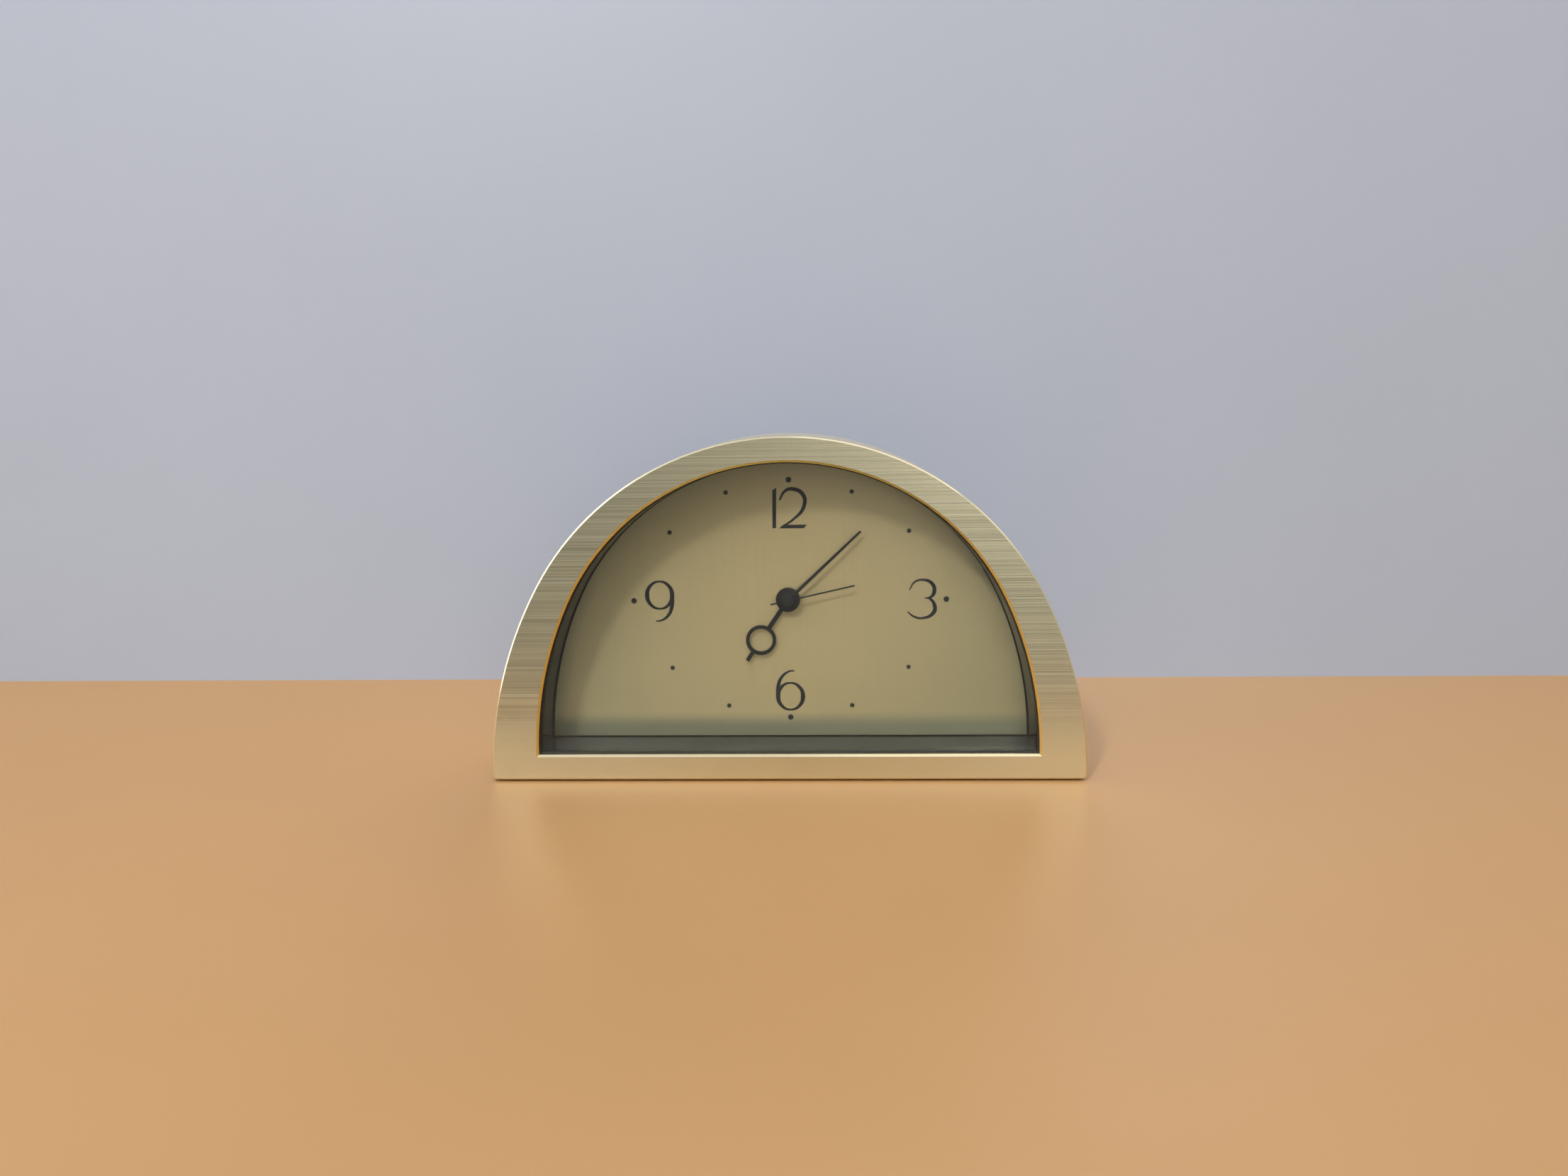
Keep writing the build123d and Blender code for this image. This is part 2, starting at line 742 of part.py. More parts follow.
with BuildPart() as coil_winding:
    with BuildSketch(across_plane(bobbin_flange - coil_length / 2, core_middle, coil_z)):
        Circle(winding_radius)
        Circle(bobbin_radius, mode=Mode.SUBTRACT)
    extrude(amount=coil_length - 2 * bobbin_flange)
finish(coil_winding, "coil_winding")

with BuildPart() as circuit_board:
    board_span = (board_z - board_height / 2, board_z + board_height / 2)
    block((-board_width / 2, board_width / 2), board_span, board_front, board_back)
    for point in board_stake_points:
        bar(point, board_stake_radius + running_gap, board_front, board_back, Mode.SUBTRACT)
finish(circuit_board, "circuit_board")

with BuildPart() as quartz_crystal:
    crystal_x = -board_width / 2 + crystal_inset
    crystal_y = board_back + crystal_radius + board_part_gap
    with BuildSketch(across_plane(crystal_x, crystal_y, board_z - crystal_drop)):
        Circle(crystal_radius)
    extrude(amount=crystal_length)
finish(quartz_crystal, "quartz_crystal")

with BuildPart() as timing_chip:
    bar((board_width / 4, board_z - crystal_drop), chip_radius, board_back, board_back + chip_height)
    fillet(timing_chip.faces().sort_by(Axis.Y)[-1].edges(), radius=chip_height / 2)
finish(timing_chip, "timing_chip")

rotor_module = mesh_module(rotor_distance, rotor_teeth, intermediate_teeth)
seconds_module = mesh_module(intermediate_distance, intermediate_pinion_teeth, seconds_teeth)
third_module = mesh_module(third_distance, seconds_pinion_teeth, third_teeth)
centre_module = mesh_module(third_distance, third_pinion_teeth, centre_teeth)
minute_module = mesh_module(setting_distance, minute_pinion_teeth, minute_wheel_teeth)
hour_module = mesh_module(setting_distance, minute_wheel_pinion_teeth, hour_teeth)

with BuildPart() as rotor_pinion:
    rotor_arbor_radius = rotor_module * (rotor_teeth / 2 - tooth_dedendum) - arbor_step
    gear(rotor_teeth, rotor_module, bearing_to(rotor_axis, intermediate_axis), rotor_axis, intermediate_layer)
    bar(rotor_axis, rotor_arbor_radius, seconds_layer, train_back)
    bar(rotor_axis, pivot_radius, bridge_pivot_end, seconds_layer)
    bar(rotor_axis, pivot_radius, train_back, lid_pivot_tip)
finish(rotor_pinion, "rotor_pinion")

with BuildPart() as rotor_magnet:
    magnet_back = seconds_layer + magnet_length
    bar(rotor_axis, magnet_radius, seconds_layer, magnet_back)
    bar(rotor_axis, rotor_arbor_radius + press_gap, seconds_layer, magnet_back, Mode.SUBTRACT)
finish(rotor_magnet, "rotor_magnet")

with BuildPart() as intermediate_wheel:
    wheel_gap = gap_bearing(intermediate_axis, rotor_axis, intermediate_teeth)
    pinion_tooth = bearing_to(intermediate_axis, arbor)
    gear(intermediate_teeth, rotor_module, wheel_gap, intermediate_axis, intermediate_layer)
    gear(intermediate_pinion_teeth, seconds_module, pinion_tooth, intermediate_axis, seconds_layer)
    intermediate_root = seconds_module * (intermediate_pinion_teeth / 2 - tooth_dedendum) - arbor_step
    bar(intermediate_axis, intermediate_root, seconds_layer, train_back)
    bar(intermediate_axis, pivot_radius, bridge_pivot_end, seconds_layer)
    bar(intermediate_axis, pivot_radius, train_back, lid_pivot_tip)
finish(intermediate_wheel, "intermediate_wheel")

with BuildPart() as seconds_wheel:
    seconds_gap = gap_bearing(arbor, intermediate_axis, seconds_teeth)
    gear(seconds_teeth, seconds_module, seconds_gap, arbor, seconds_layer)
    gear(seconds_pinion_teeth, third_module, bearing_to(arbor, third_axis), arbor, third_layer)
    bar(arbor, seconds_arbor_radius, second_hand_front + second_cap_wall, lid_pivot_tip)
finish(seconds_wheel, "seconds_wheel")

with BuildPart() as third_wheel:
    gear(third_teeth, third_module, gap_bearing(third_axis, arbor, third_teeth), third_axis, third_layer)
    gear(third_pinion_teeth, centre_module, bearing_to(third_axis, arbor), third_axis, centre_layer)
    third_root = centre_module * (third_pinion_teeth / 2 - tooth_dedendum) - arbor_step
    bar(third_axis, third_root, centre_layer, third_layer + layer_thickness)
    bar(third_axis, pivot_radius, floor_pivot_end, centre_layer)
    bar(third_axis, pivot_radius, third_layer + layer_thickness, bridge_back - pivot_end_gap)
finish(third_wheel, "third_wheel")

with BuildPart() as centre_wheel:
    gear(centre_teeth, centre_module, gap_bearing(arbor, third_axis, centre_teeth), arbor, centre_layer)
    bar(arbor, minute_pipe_radius + running_gap, centre_layer, centre_layer + layer_thickness, Mode.SUBTRACT)
finish(centre_wheel, "centre_wheel")

with BuildPart() as minute_pipe:
    gear(minute_pinion_teeth, minute_module, bearing_to(arbor, setting_axis), arbor, minute_layer)
    pipe_back = centre_layer + layer_thickness + pivot_end_gap
    bar(arbor, minute_pipe_radius, minute_hand_front, pipe_back)
    bar(arbor, seconds_arbor_radius + running_gap, minute_hand_front, pipe_back, Mode.SUBTRACT)
finish(minute_pipe, "minute_pipe")

with BuildPart() as minute_wheel:
    minute_gap = gap_bearing(setting_axis, arbor, minute_wheel_teeth)
    gear(minute_wheel_teeth, minute_module, minute_gap, setting_axis, minute_layer)
    gear(minute_wheel_pinion_teeth, hour_module, bearing_to(setting_axis, arbor), setting_axis, hour_layer)
    setting_root = hour_module * (minute_wheel_pinion_teeth / 2 - tooth_dedendum) - arbor_step
    bar(setting_axis, setting_root, hour_layer, minute_layer)
    bar(setting_axis, setting_pivot_radius, floor_pivot_end, hour_layer)
    bar(setting_axis, setting_shaft_radius, minute_layer + layer_thickness, knob_back - knob_cap)
finish(minute_wheel, "minute_wheel")

with BuildPart() as hour_wheel:
    gear(hour_teeth, hour_module, gap_bearing(arbor, setting_axis, hour_teeth), arbor, hour_layer)
    bar(arbor, hour_pipe_radius, hour_hand_front, hour_layer + layer_thickness)
    hour_bore = minute_pipe_radius + running_gap
    bar(arbor, hour_bore, hour_hand_front, hour_layer + layer_thickness, Mode.SUBTRACT)
finish(hour_wheel, "hour_wheel")

with BuildPart() as hour_hand:
    with BuildSketch(hand_plane(hour_hand_front + hour_sheet, hour_angle)):
        Circle(hour_boss_radius)
        with Locations((0, hour_ring_distance / 2)):
            Rectangle(hour_stem_width, hour_ring_distance)
        with Locations((0, (hour_ring_distance + hour_length) / 2)):
            Rectangle(hour_tip_width, hour_length - hour_ring_distance)
        with Locations((0, hour_ring_distance)):
            Circle(hour_ring_radius)
            Circle(hour_ring_hole_radius, mode=Mode.SUBTRACT)
    extrude(amount=hour_sheet)
    bar(arbor, hour_pipe_radius + collet_wall, hour_hand_front + hour_sheet, hour_hand_back)
    bar(arbor, hour_pipe_radius + press_gap, hour_hand_front, hour_hand_back, Mode.SUBTRACT)
finish(hour_hand, "hour_hand")

with BuildPart() as minute_hand:
    with BuildSketch(hand_plane(minute_hand_front + minute_sheet, minute_angle)):
        Circle(minute_boss_radius)
        with BuildLine():
            Polyline(
                (-minute_root_width / 2, 0),
                (minute_root_width / 2, 0),
                (minute_tip_width / 2, minute_length),
                (-minute_tip_width / 2, minute_length),
                close=True,
            )
        make_face()
    extrude(amount=minute_sheet)
    bar(arbor, minute_pipe_radius + collet_wall, minute_hand_front + minute_sheet, minute_hand_back)
    bar(arbor, minute_pipe_radius + press_gap, minute_hand_front, minute_hand_back, Mode.SUBTRACT)
finish(minute_hand, "minute_hand")

with BuildPart() as second_hand:
    with BuildSketch(hand_plane(second_hand_back, second_angle)):
        with Locations((0, (second_length - second_tail) / 2)):
            Rectangle(second_width, second_length + second_tail)
    extrude(amount=second_sheet)
    bar(arbor, second_cap_radius, second_hand_front, second_hand_back)
    fillet(second_hand.faces().sort_by(Axis.Y)[0].edges(), radius=second_cap_round)
    second_bore = seconds_arbor_radius + press_gap
    bar(arbor, second_bore, second_hand_front + second_cap_wall, second_hand_back, Mode.SUBTRACT)
finish(second_hand, "second_hand")

with BuildPart() as setting_knob:
    with BuildSketch(depth_plane(knob_back)):
        with Locations(setting_axis):
            Circle(knob_radius)
            with PolarLocations(knob_radius, knob_flutes):
                Circle(knob_flute_radius, mode=Mode.SUBTRACT)
    extrude(amount=knob_length)
    knob_bore = setting_shaft_radius + press_gap
    bar(setting_axis, knob_bore, knob_back - knob_length, knob_back - knob_cap, Mode.SUBTRACT)
finish(setting_knob, "setting_knob")

with BuildPart() as dry_cell:
    with BuildSketch(across_plane(cell_end - cell_nub_length - cell_length, cell_y, cell_z)):
        Circle(cell_radius)
    extrude(amount=cell_length)
    fillet(dry_cell.edges().filter_by(GeomType.CIRCLE), radius=cell_edge_round)
    with BuildSketch(across_plane(cell_end - cell_nub_length, cell_y, cell_z)):
        Circle(cell_nub_radius)
    extrude(amount=cell_nub_length)
finish(dry_cell, "dry_cell")

with BuildPart() as positive_contact:
    contact_z = (cell_z - contact_height / 2, cell_z + contact_height / 2)
    contact_y = (cell_y - contact_width / 2, cell_y + contact_width / 2)
    block((chamber_half - contact_thickness, chamber_half), contact_z, *contact_y)
finish(positive_contact, "positive_contact")

with BuildPart() as negative_contact:
    plate_x = contact_thickness - chamber_half
    block((-chamber_half, plate_x), contact_z, *contact_y)
    with BuildSketch(depth_plane(contact_y[1])):
        with BuildLine():
            Polyline(
                (plate_x, contact_z[0]),
                (leaf_x, cell_z),
                (plate_x, contact_z[1]),
                (plate_x, contact_z[1] - 2 * contact_thickness),
                (leaf_x - contact_thickness, cell_z),
                (plate_x, contact_z[0] + 2 * contact_thickness),
                close=True,
            )
        make_face()
    extrude(amount=contact_width)
finish(negative_contact, "negative_contact")

with BuildPart() as back_cover:
    with BuildSketch(depth_plane(cover_back)):
        add(arch_face(case_arch, -shell_wall - cover_gap))
    extrude(amount=cover_thickness)
    collar_half = chamber_half + collar_wall
    collar_z = (window_bottom - collar_wall, bay_top + collar_wall)
    block((-collar_half, collar_half), collar_z, collar_front, cover_front)
    block(chamber_x, (window_bottom, bay_top), collar_front, cover_back, Mode.SUBTRACT)
    with BuildSketch(across_plane(-hinge_hole_end, hinge_y, hinge_z)):
        Circle(hinge_pin_radius + running_gap)
    extrude(amount=2 * hinge_hole_end, mode=Mode.SUBTRACT)
    bar((0, bay_top), notch_radius, cover_back - notch_depth, cover_back, Mode.SUBTRACT)
    bar(setting_axis, knob_radius + knob_hole_gap, cover_front, cover_back, Mode.SUBTRACT)
    for point in column_points:
        bar(point, cover_screw_radius + screw_hole_gap, cover_front, cover_back, Mode.SUBTRACT)
finish(back_cover, "back_cover")

with BuildPart() as cover_screws:
    for point in column_points:
        screw(point, cover_back, cover_screw_radius, cover_thickness + cover_screw_bite)
finish(cover_screws, "cover_screws")

with BuildPart() as battery_door:
    door_half = chamber_half - door_side_gap
    block((-door_half, door_half), (hinge_z, bay_top - door_top_gap), cover_front, cover_back)
    with BuildSketch(across_plane(-door_half, hinge_y, hinge_z)):
        Circle(barrel_radius)
    extrude(amount=2 * door_half)
    with BuildSketch(across_plane(-door_half - hinge_pin_length, hinge_y, hinge_z)):
        Circle(hinge_pin_radius)
    extrude(amount=2 * (door_half + hinge_pin_length))
finish(battery_door, "battery_door")
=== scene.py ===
"""Looks of the half-round desk clock: finishes for every piece, the printed dial and a plain studio."""
import json
from math import cos, radians, sin

import bmesh
import bpy
from mathutils import Matrix, Vector


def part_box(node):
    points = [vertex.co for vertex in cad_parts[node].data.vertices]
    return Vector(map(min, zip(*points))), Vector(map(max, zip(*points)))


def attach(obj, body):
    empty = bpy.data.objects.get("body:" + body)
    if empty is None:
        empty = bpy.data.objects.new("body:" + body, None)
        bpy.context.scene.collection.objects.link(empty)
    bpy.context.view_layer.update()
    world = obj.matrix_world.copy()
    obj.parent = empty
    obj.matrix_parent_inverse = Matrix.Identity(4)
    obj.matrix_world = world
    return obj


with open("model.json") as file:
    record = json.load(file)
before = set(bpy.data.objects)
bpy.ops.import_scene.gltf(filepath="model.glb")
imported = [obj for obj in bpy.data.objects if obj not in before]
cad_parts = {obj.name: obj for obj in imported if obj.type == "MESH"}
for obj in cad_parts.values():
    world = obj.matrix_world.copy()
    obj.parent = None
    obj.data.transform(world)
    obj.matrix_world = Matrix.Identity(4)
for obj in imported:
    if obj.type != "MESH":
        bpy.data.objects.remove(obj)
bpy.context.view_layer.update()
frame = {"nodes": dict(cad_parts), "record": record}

# Lengths up to the studio are in millimetres, and are divided by this where Blender takes metres
per_metre = 1000.0

# Dial: its arbor and face, its print, where painted shade darkens its foot, and how far from the arbor
# its tone darkens, partly as painted shade
arbor_height = 55.7
dial_depth = -3.0
ink_thickness = 0.03
foot_shade_height = (12.4, 18.4)
outward_shade_reach = (15.0, 75.0)

# How far the painted shadow at the joint around the dial reaches forward on the recess
joint_shadow_on_wall = 4.2
joint_shadow_on_floor = 2.4

# Front: heights between which its satin foot turns into its brushed face; the foot's plain tone with
# few streaks is partly a painted reflection of the floor
satin_height = 17.8
brushed_height = 23.6

# Front's edges: height of the arch's middle, which the lip faces, and the blend from lip to bevel
arch_middle = 35.0
lip_blend = 4.0

# Dry cell: how far its pale band and its bare ends reach in
cell_band = 14.0
cell_bare_right = 2.2
cell_bare_left = 0.8

# Printed numbers: a stroke is a row of (across, up, width) from the arbor, a bar is its corners
twelve_bar = [(-4.9, 23.5), (-3.7, 23.5), (-3.5, 36.8), (-4.8, 35.9)]
twelve_foot = [(-2.7, 23.4), (5.4, 23.4), (6.4, 24.6), (-1.4, 24.6)]
twelve_hook = [
    (-2.5, 32.7, 0.5), (-0.6, 35.7, 0.75), (1.6, 36.3, 1.0), (5.2, 34.4, 1.1),
    (5.4, 30.4, 1.0), (1.9, 26.3, 0.62), (-2.1, 23.7, 0.45),
]
three_top = [
    (39.9, 2.8, 0.3), (41.6, 5.4, 0.5), (44.3, 6.15, 0.65), (47.4, 4.8, 1.0),
    (48.0, 2.0, 1.1), (46.7, 0.3, 0.7), (44.9, 0.1, 0.2),
]
three_foot = [
    (44.9, 0.1, 0.2), (46.5, -0.1, 0.6), (48.2, -2.4, 1.05), (47.9, -4.7, 1.1),
    (44.3, -6.6, 0.65), (41.3, -6.0, 0.55), (39.3, -4.4, 0.3),
]

# The six and the nine are one shape: a bowl, and a long stroke given from the bowl's middle
six_middle = (0.5, -32.8)
nine_middle = (-42.5, 1.55)
bowl_half_width = 4.15
bowl_half_height = 4.55
bowl_thin = 0.5
bowl_swell = 0.75
long_stroke = [
    (1.4, 8.6, 0.35), (0.0, 8.6, 0.5), (-2.8, 6.7, 0.8), (-4.0, 3.8, 1.05), (-4.15, 0.0, 1.2),
]

# Pen: radius of a stroke whose width is 1, and how much of its roundness is left in the print
pen_radius = 0.6
pen_roundness = 0.04

# Hour dots: middle of their ring from the arbor, then distance and radius by the hour within a quarter
dot_middle = (0.5, -0.3)
dot_distance = {0: 39.6, 1: 41.1, 2: 45.3, 3: 51.55}
dot_radius = {0: 0.93, 1: 0.74, 2: 0.74, 3: 0.93}
dot_taper = 0.93
dot_sides = 28

# Arrow around the setting knob: its arc and its head, with turns in degrees
arrow_reach = 10.2
arrow_width = 0.9
arrow_head = 2.8
arrow_start = 45
arrow_neck = 130
arrow_tip = 147
arrow_step = 5
arrow_rise = 0.35

# Finger ridges on the battery door: width, height and rise, and their drops from its top
ridge_size = (16.0, 0.7, 0.5)
ridge_drops = (3.0, 4.6, 6.2, 7.8)
ridge_bevel = 0.2


# Node helpers

def feed(tree, socket, value):
    """Gives a socket a value, or links another node's output to it."""
    if isinstance(value, bpy.types.NodeSocket):
        tree.links.new(value, socket)
    else:
        socket.default_value = value


def set_inputs(tree, node, **inputs):
    """Feeds a node's inputs by socket name, with _ for a space."""
    for name, value in inputs.items():
        feed(tree, node.inputs[name.replace("_", " ")], value)


def place(tree, kind, settings=None, **inputs):
    """A node with its settings and its inputs."""
    node = tree.nodes.new(kind)
    for name, value in (settings or {}).items():
        setattr(node, name, value)
    set_inputs(tree, node, **inputs)
    return node


def axes(tree, vector):
    """The X, Y and Z of a vector."""
    return place(tree, "ShaderNodeSeparateXYZ", Vector=vector).outputs


def arithmetic(tree, operation, *values):
    """Result of a Math node on sockets or numbers."""
    node = place(tree, "ShaderNodeMath", {"operation": operation})
    for socket, value in zip(node.inputs, values):
        feed(tree, socket, value)
    return node.outputs[0]


def between(tree, share, first, second):
    """Colour between two colours."""
    node = place(tree, "ShaderNodeMix", {"data_type": "RGBA"})
    for socket, value in zip((node.inputs[0], node.inputs[6], node.inputs[7]), (share, first, second)):
        feed(tree, socket, value)
    return node.outputs[2]


def spread(tree, value, low, high, to_low=0.0, to_high=1.0):
    """A value moved from one range to another, smoothly and within its ends."""
    node = place(
        tree, "ShaderNodeMapRange", {"interpolation_type": "SMOOTHSTEP"},
        Value=value, From_Min=low, From_Max=high, To_Min=to_low, To_Max=to_high,
    )
    return node.outputs[0]


def relief(tree, height, strength, depth):
    """Normal of a bump whose height is a 0 to 1 pattern, with its depth in millimetres."""
    node = place(tree, "ShaderNodeBump", Height=height, Strength=strength, Distance=depth / per_metre)
    return node.outputs[0]


def mix_shaders(tree, share, first, second):
    """Shader node between two shader nodes."""
    node = tree.nodes.new("ShaderNodeMixShader")
    tree.links.new(share, node.inputs[0])
    tree.links.new(first.outputs[0], node.inputs[1])
    tree.links.new(second.outputs[0], node.inputs[2])
    return node


def see_through(tree, surface, share, tint=(1.0, 1.0, 1.0, 1.0)):
    """Lets a share of the rays pass through a surface, with a tint."""
    clear = place(tree, "ShaderNodeBsdfTransparent", Color=tint)
    shown = mix_shaders(tree, share, surface, clear)
    tree.links.new(shown.outputs[0], tree.nodes["Material Output"].inputs["Surface"])


def shade(colour, factor):
    """A colour made lighter or darker, as RGBA."""
    return (colour[0] * factor, colour[1] * factor, colour[2] * factor, 1.0)


# Shared effects: a Scale is in patterns per metre

NUMBER = "NodeSocketFloat"
VECTOR = "NodeSocketVector"


def effect(name, inputs, outputs):
    """An empty shader node group with its sockets, and its two end nodes."""
    group = bpy.data.node_groups.new(name, "ShaderNodeTree")
    for socket, kind in inputs.items():
        group.interface.new_socket(name=socket, in_out="INPUT", socket_type=kind)
    for socket, kind in outputs.items():
        group.interface.new_socket(name=socket, in_out="OUTPUT", socket_type=kind)
    start = group.nodes.new("NodeGroupInput")
    end = group.nodes.new("NodeGroupOutput")
    return group, start.outputs, end.inputs


def brush_lines():
    """Fine strokes, broad bands and stray scratches, stretched by a vector of strokes per metre."""
    group, given, result = effect(
        "brush lines",
        {"Place": VECTOR, "Strokes": VECTOR},
        {"Fine": NUMBER, "Broad": NUMBER, "Scratch": NUMBER},
    )
    stretched = place(group, "ShaderNodeVectorMath", {"operation": "MULTIPLY"})
    feed(group, stretched.inputs[0], given["Place"])
    feed(group, stretched.inputs[1], given["Strokes"])
    spot = stretched.outputs[0]
    fine = place(group, "ShaderNodeTexNoise", Vector=spot, Scale=1.0, Detail=3.0)
    broad = place(group, "ShaderNodeTexNoise", Vector=spot, Scale=0.5, Detail=2.0)
    stray = place(
        group, "ShaderNodeTexNoise", {"noise_dimensions": "4D"},
        Vector=spot, W=7.0, Scale=0.8, Detail=1.0,
    )
    feed(group, result["Fine"], spread(group, fine.outputs[0], 0.28, 0.72))
    feed(group, result["Broad"], spread(group, broad.outputs[0], 0.35, 0.65))
    feed(group, result["Scratch"], spread(group, stray.outputs[0], 0.64, 0.72))
    return group


def mottle():
    """Slow cloudy change over a surface, 0 to 1."""
    group, given, result = effect("mottle", {"Place": VECTOR, "Scale": NUMBER}, {"Cloud": NUMBER})
    cloud = place(
        group, "ShaderNodeTexNoise",
        Vector=given["Place"], Scale=given["Scale"], Detail=4.0, Roughness=0.55,
    )
    feed(group, result["Cloud"], spread(group, cloud.outputs[0], 0.3, 0.7))
    return group


def mould_grain():
    """Pebbled skin of a moulded piece, 0 to 1."""
    group, given, result = effect("mould grain", {"Place": VECTOR, "Scale": NUMBER}, {"Grain": NUMBER})
    pebble = place(group, "ShaderNodeTexVoronoi", Vector=given["Place"], Scale=given["Scale"])
    rough = place(group, "ShaderNodeTexNoise", Vector=given["Place"], Scale=given["Scale"], Detail=3.0)
    grain = arithmetic(group, "MULTIPLY", pebble.outputs["Distance"], rough.outputs[0])
    feed(group, result["Grain"], grain)
    return group


def settled_dust():
    """Specks and a thin film of dust on what faces up, 0 to 1."""
    specks_per_cloud = 6.0
    group, given, result = effect(
        "settled dust",
        {"Place": VECTOR, "Facing": VECTOR, "Scale": NUMBER},
        {"Film": NUMBER, "Specks": NUMBER},
    )
    upward = spread(group, axes(group, given["Facing"])["Z"], 0.3, 0.95)
    cloud = place(
        group, "ShaderNodeTexNoise",
        Vector=given["Place"], Scale=given["Scale"], Detail=5.0, Roughness=0.65,
    )
    thickness = spread(group, cloud.outputs[0], 0.25, 0.75, 0.35, 1.0)
    feed(group, result["Film"], arithmetic(group, "MULTIPLY", upward, thickness))
    finer = arithmetic(group, "MULTIPLY", given["Scale"], specks_per_cloud)
    specks = place(group, "ShaderNodeTexVoronoi", Vector=given["Place"], Scale=finer)
    feed(group, result["Specks"], spread(group, specks.outputs["Distance"], 0.02, 0.12, 1.0, 0.0))
    return group


lines_effect = brush_lines()
mottle_effect = mottle()
grain_effect = mould_grain()
dust_effect = settled_dust()


# Finishes

def new_finish(name):
    """A material, its node tree, its surface shader and its coordinates."""
    finish = bpy.data.materials.new(name)
    finish.use_nodes = True
    tree = finish.node_tree
    coordinates = tree.nodes.new("ShaderNodeTexCoord")
    return finish, tree, tree.nodes["Principled BSDF"], coordinates.outputs


def use(tree, group, **inputs):
    """Outputs of a shared effect placed in a material."""
    return place(tree, "ShaderNodeGroup", {"node_tree": group}, **inputs).outputs


def moulded_finish(name, colour, roughness, grains, depth):
    """Moulded plastic or rubber: pebbled skin, slightly cloudy colour."""
    finish, tree, surface, at = new_finish(name)
    grain = use(tree, grain_effect, Place=at["Object"], Scale=grains)["Grain"]
    cloud = use(tree, mottle_effect, Place=at["Object"], Scale=60.0)["Cloud"]
    set_inputs(
        tree, surface,
        Base_Color=between(tree, cloud, shade(colour, 0.82), shade(colour, 1.18)),
        Roughness=spread(tree, grain, 0.0, 0.5, roughness - 0.08, roughness + 0.08),
        Normal=relief(tree, grain, 0.5, depth),
    )
    return finish


def metal_finish(name, colour, roughness, strokes, contrast):
    """Worked metal: strokes that change its shade and gloss, and a little tarnish."""
    finish, tree, surface, at = new_finish(name)
    lines = use(tree, lines_effect, Place=at["Object"], Strokes=strokes)
    cloud = use(tree, mottle_effect, Place=at["Object"], Scale=35.0)["Cloud"]
    streak = between(tree, lines["Fine"], shade(colour, 1 - contrast), shade(colour, 1 + contrast))
    tarnish = arithmetic(tree, "MULTIPLY", cloud, 0.25)
    set_inputs(
        tree, surface,
        Metallic=1.0,
        Base_Color=between(tree, tarnish, streak, shade(colour, 0.72)),
        Roughness=spread(tree, lines["Broad"], 0.0, 1.0, roughness - 0.06, roughness + 0.06),
        Normal=relief(tree, lines["Fine"], 0.4, 0.01),
    )
    return finish


def frame_finish():
    """Brass-toned front: brushed across above a satin foot that is partly a painted reflection,
    polished on the edge bevel and the lip, the lip's warmer tone a painted reflection.
    """
    brass = (0.79, 0.735, 0.51)
    # Tone of the satin foot: partly a painted reflection of the floor
    satin = (0.72, 0.73, 0.565, 1.0)
    polished = (0.86, 0.78, 0.54, 1.0)
    # Deeper, warmer copy of the polished brass for the lip: painted reflection
    lip = (0.80, 0.66, 0.26, 1.0)
    tarnished = (0.62, 0.57, 0.41, 1.0)
    scratched = (0.92, 0.90, 0.74, 1.0)
    edge_roughness = 0.14
    finish, tree, surface, at = new_finish("frame_brass")
    facing = axes(tree, at["Normal"])
    spot = axes(tree, at["Object"])
    lines = use(tree, lines_effect, Place=at["Object"], Strokes=(6.0, 3600.0, 3600.0))
    cloud = use(tree, mottle_effect, Place=at["Object"], Scale=28.0)["Cloud"]
    flat = spread(tree, arithmetic(tree, "ABSOLUTE", facing["Y"]), 0.85, 0.97)
    brushed = spread(tree, spot["Z"], satin_height / per_metre, brushed_height / per_metre, 0.12, 1.0)

    # Edges: what faces the arch's middle is the lip, apart from its upward run along the rail; the
    # lip's deeper, warmer brass is a painted reflection of the warm floor
    sideways = arithmetic(tree, "MULTIPLY", facing["X"], spot["X"])
    above_middle = arithmetic(tree, "SUBTRACT", spot["Z"], arch_middle / per_metre)
    outward = arithmetic(tree, "MULTIPLY_ADD", facing["Z"], above_middle, sideways)
    inner = spread(tree, outward, -lip_blend / per_metre, 0.0, 1.0, 0.0)
    not_upward = spread(tree, facing["Z"], 0.3, 0.6, 1.0, 0.0)
    edges = between(tree, arithmetic(tree, "MULTIPLY", inner, not_upward), polished, lip)

    # Face: streaks above the satin foot, whose plain tone is partly a painted reflection, then tarnish
    # and stray scratches
    fine = arithmetic(tree, "MULTIPLY", lines["Fine"], 0.88)
    tone = arithmetic(tree, "MULTIPLY_ADD", lines["Broad"], 0.12, fine)
    streak = between(tree, tone, shade(brass, 0.70), shade(brass, 1.08))
    lined = between(tree, brushed, satin, streak)
    worn = between(tree, arithmetic(tree, "MULTIPLY", cloud, 0.25), lined, tarnished)
    stray = arithmetic(tree, "MULTIPLY", arithmetic(tree, "MULTIPLY", lines["Scratch"], 0.5), brushed)
    face = between(tree, stray, worn, scratched)
    uneven = spread(tree, lines["Broad"], 0.0, 1.0, 0.20, 0.23)
    dull = arithmetic(tree, "MULTIPLY_ADD", brushed, 0.09, uneven)
    duller = arithmetic(tree, "SUBTRACT", dull, edge_roughness)
    ridges = arithmetic(tree, "MULTIPLY", arithmetic(tree, "MULTIPLY", lines["Fine"], flat), brushed)
    set_inputs(
        tree, surface,
        Metallic=1.0,
        Base_Color=between(tree, flat, edges, face),
        Roughness=arithmetic(tree, "MULTIPLY_ADD", duller, flat, edge_roughness),
        Normal=relief(tree, ridges, 1.0, 0.01),
    )
    return finish


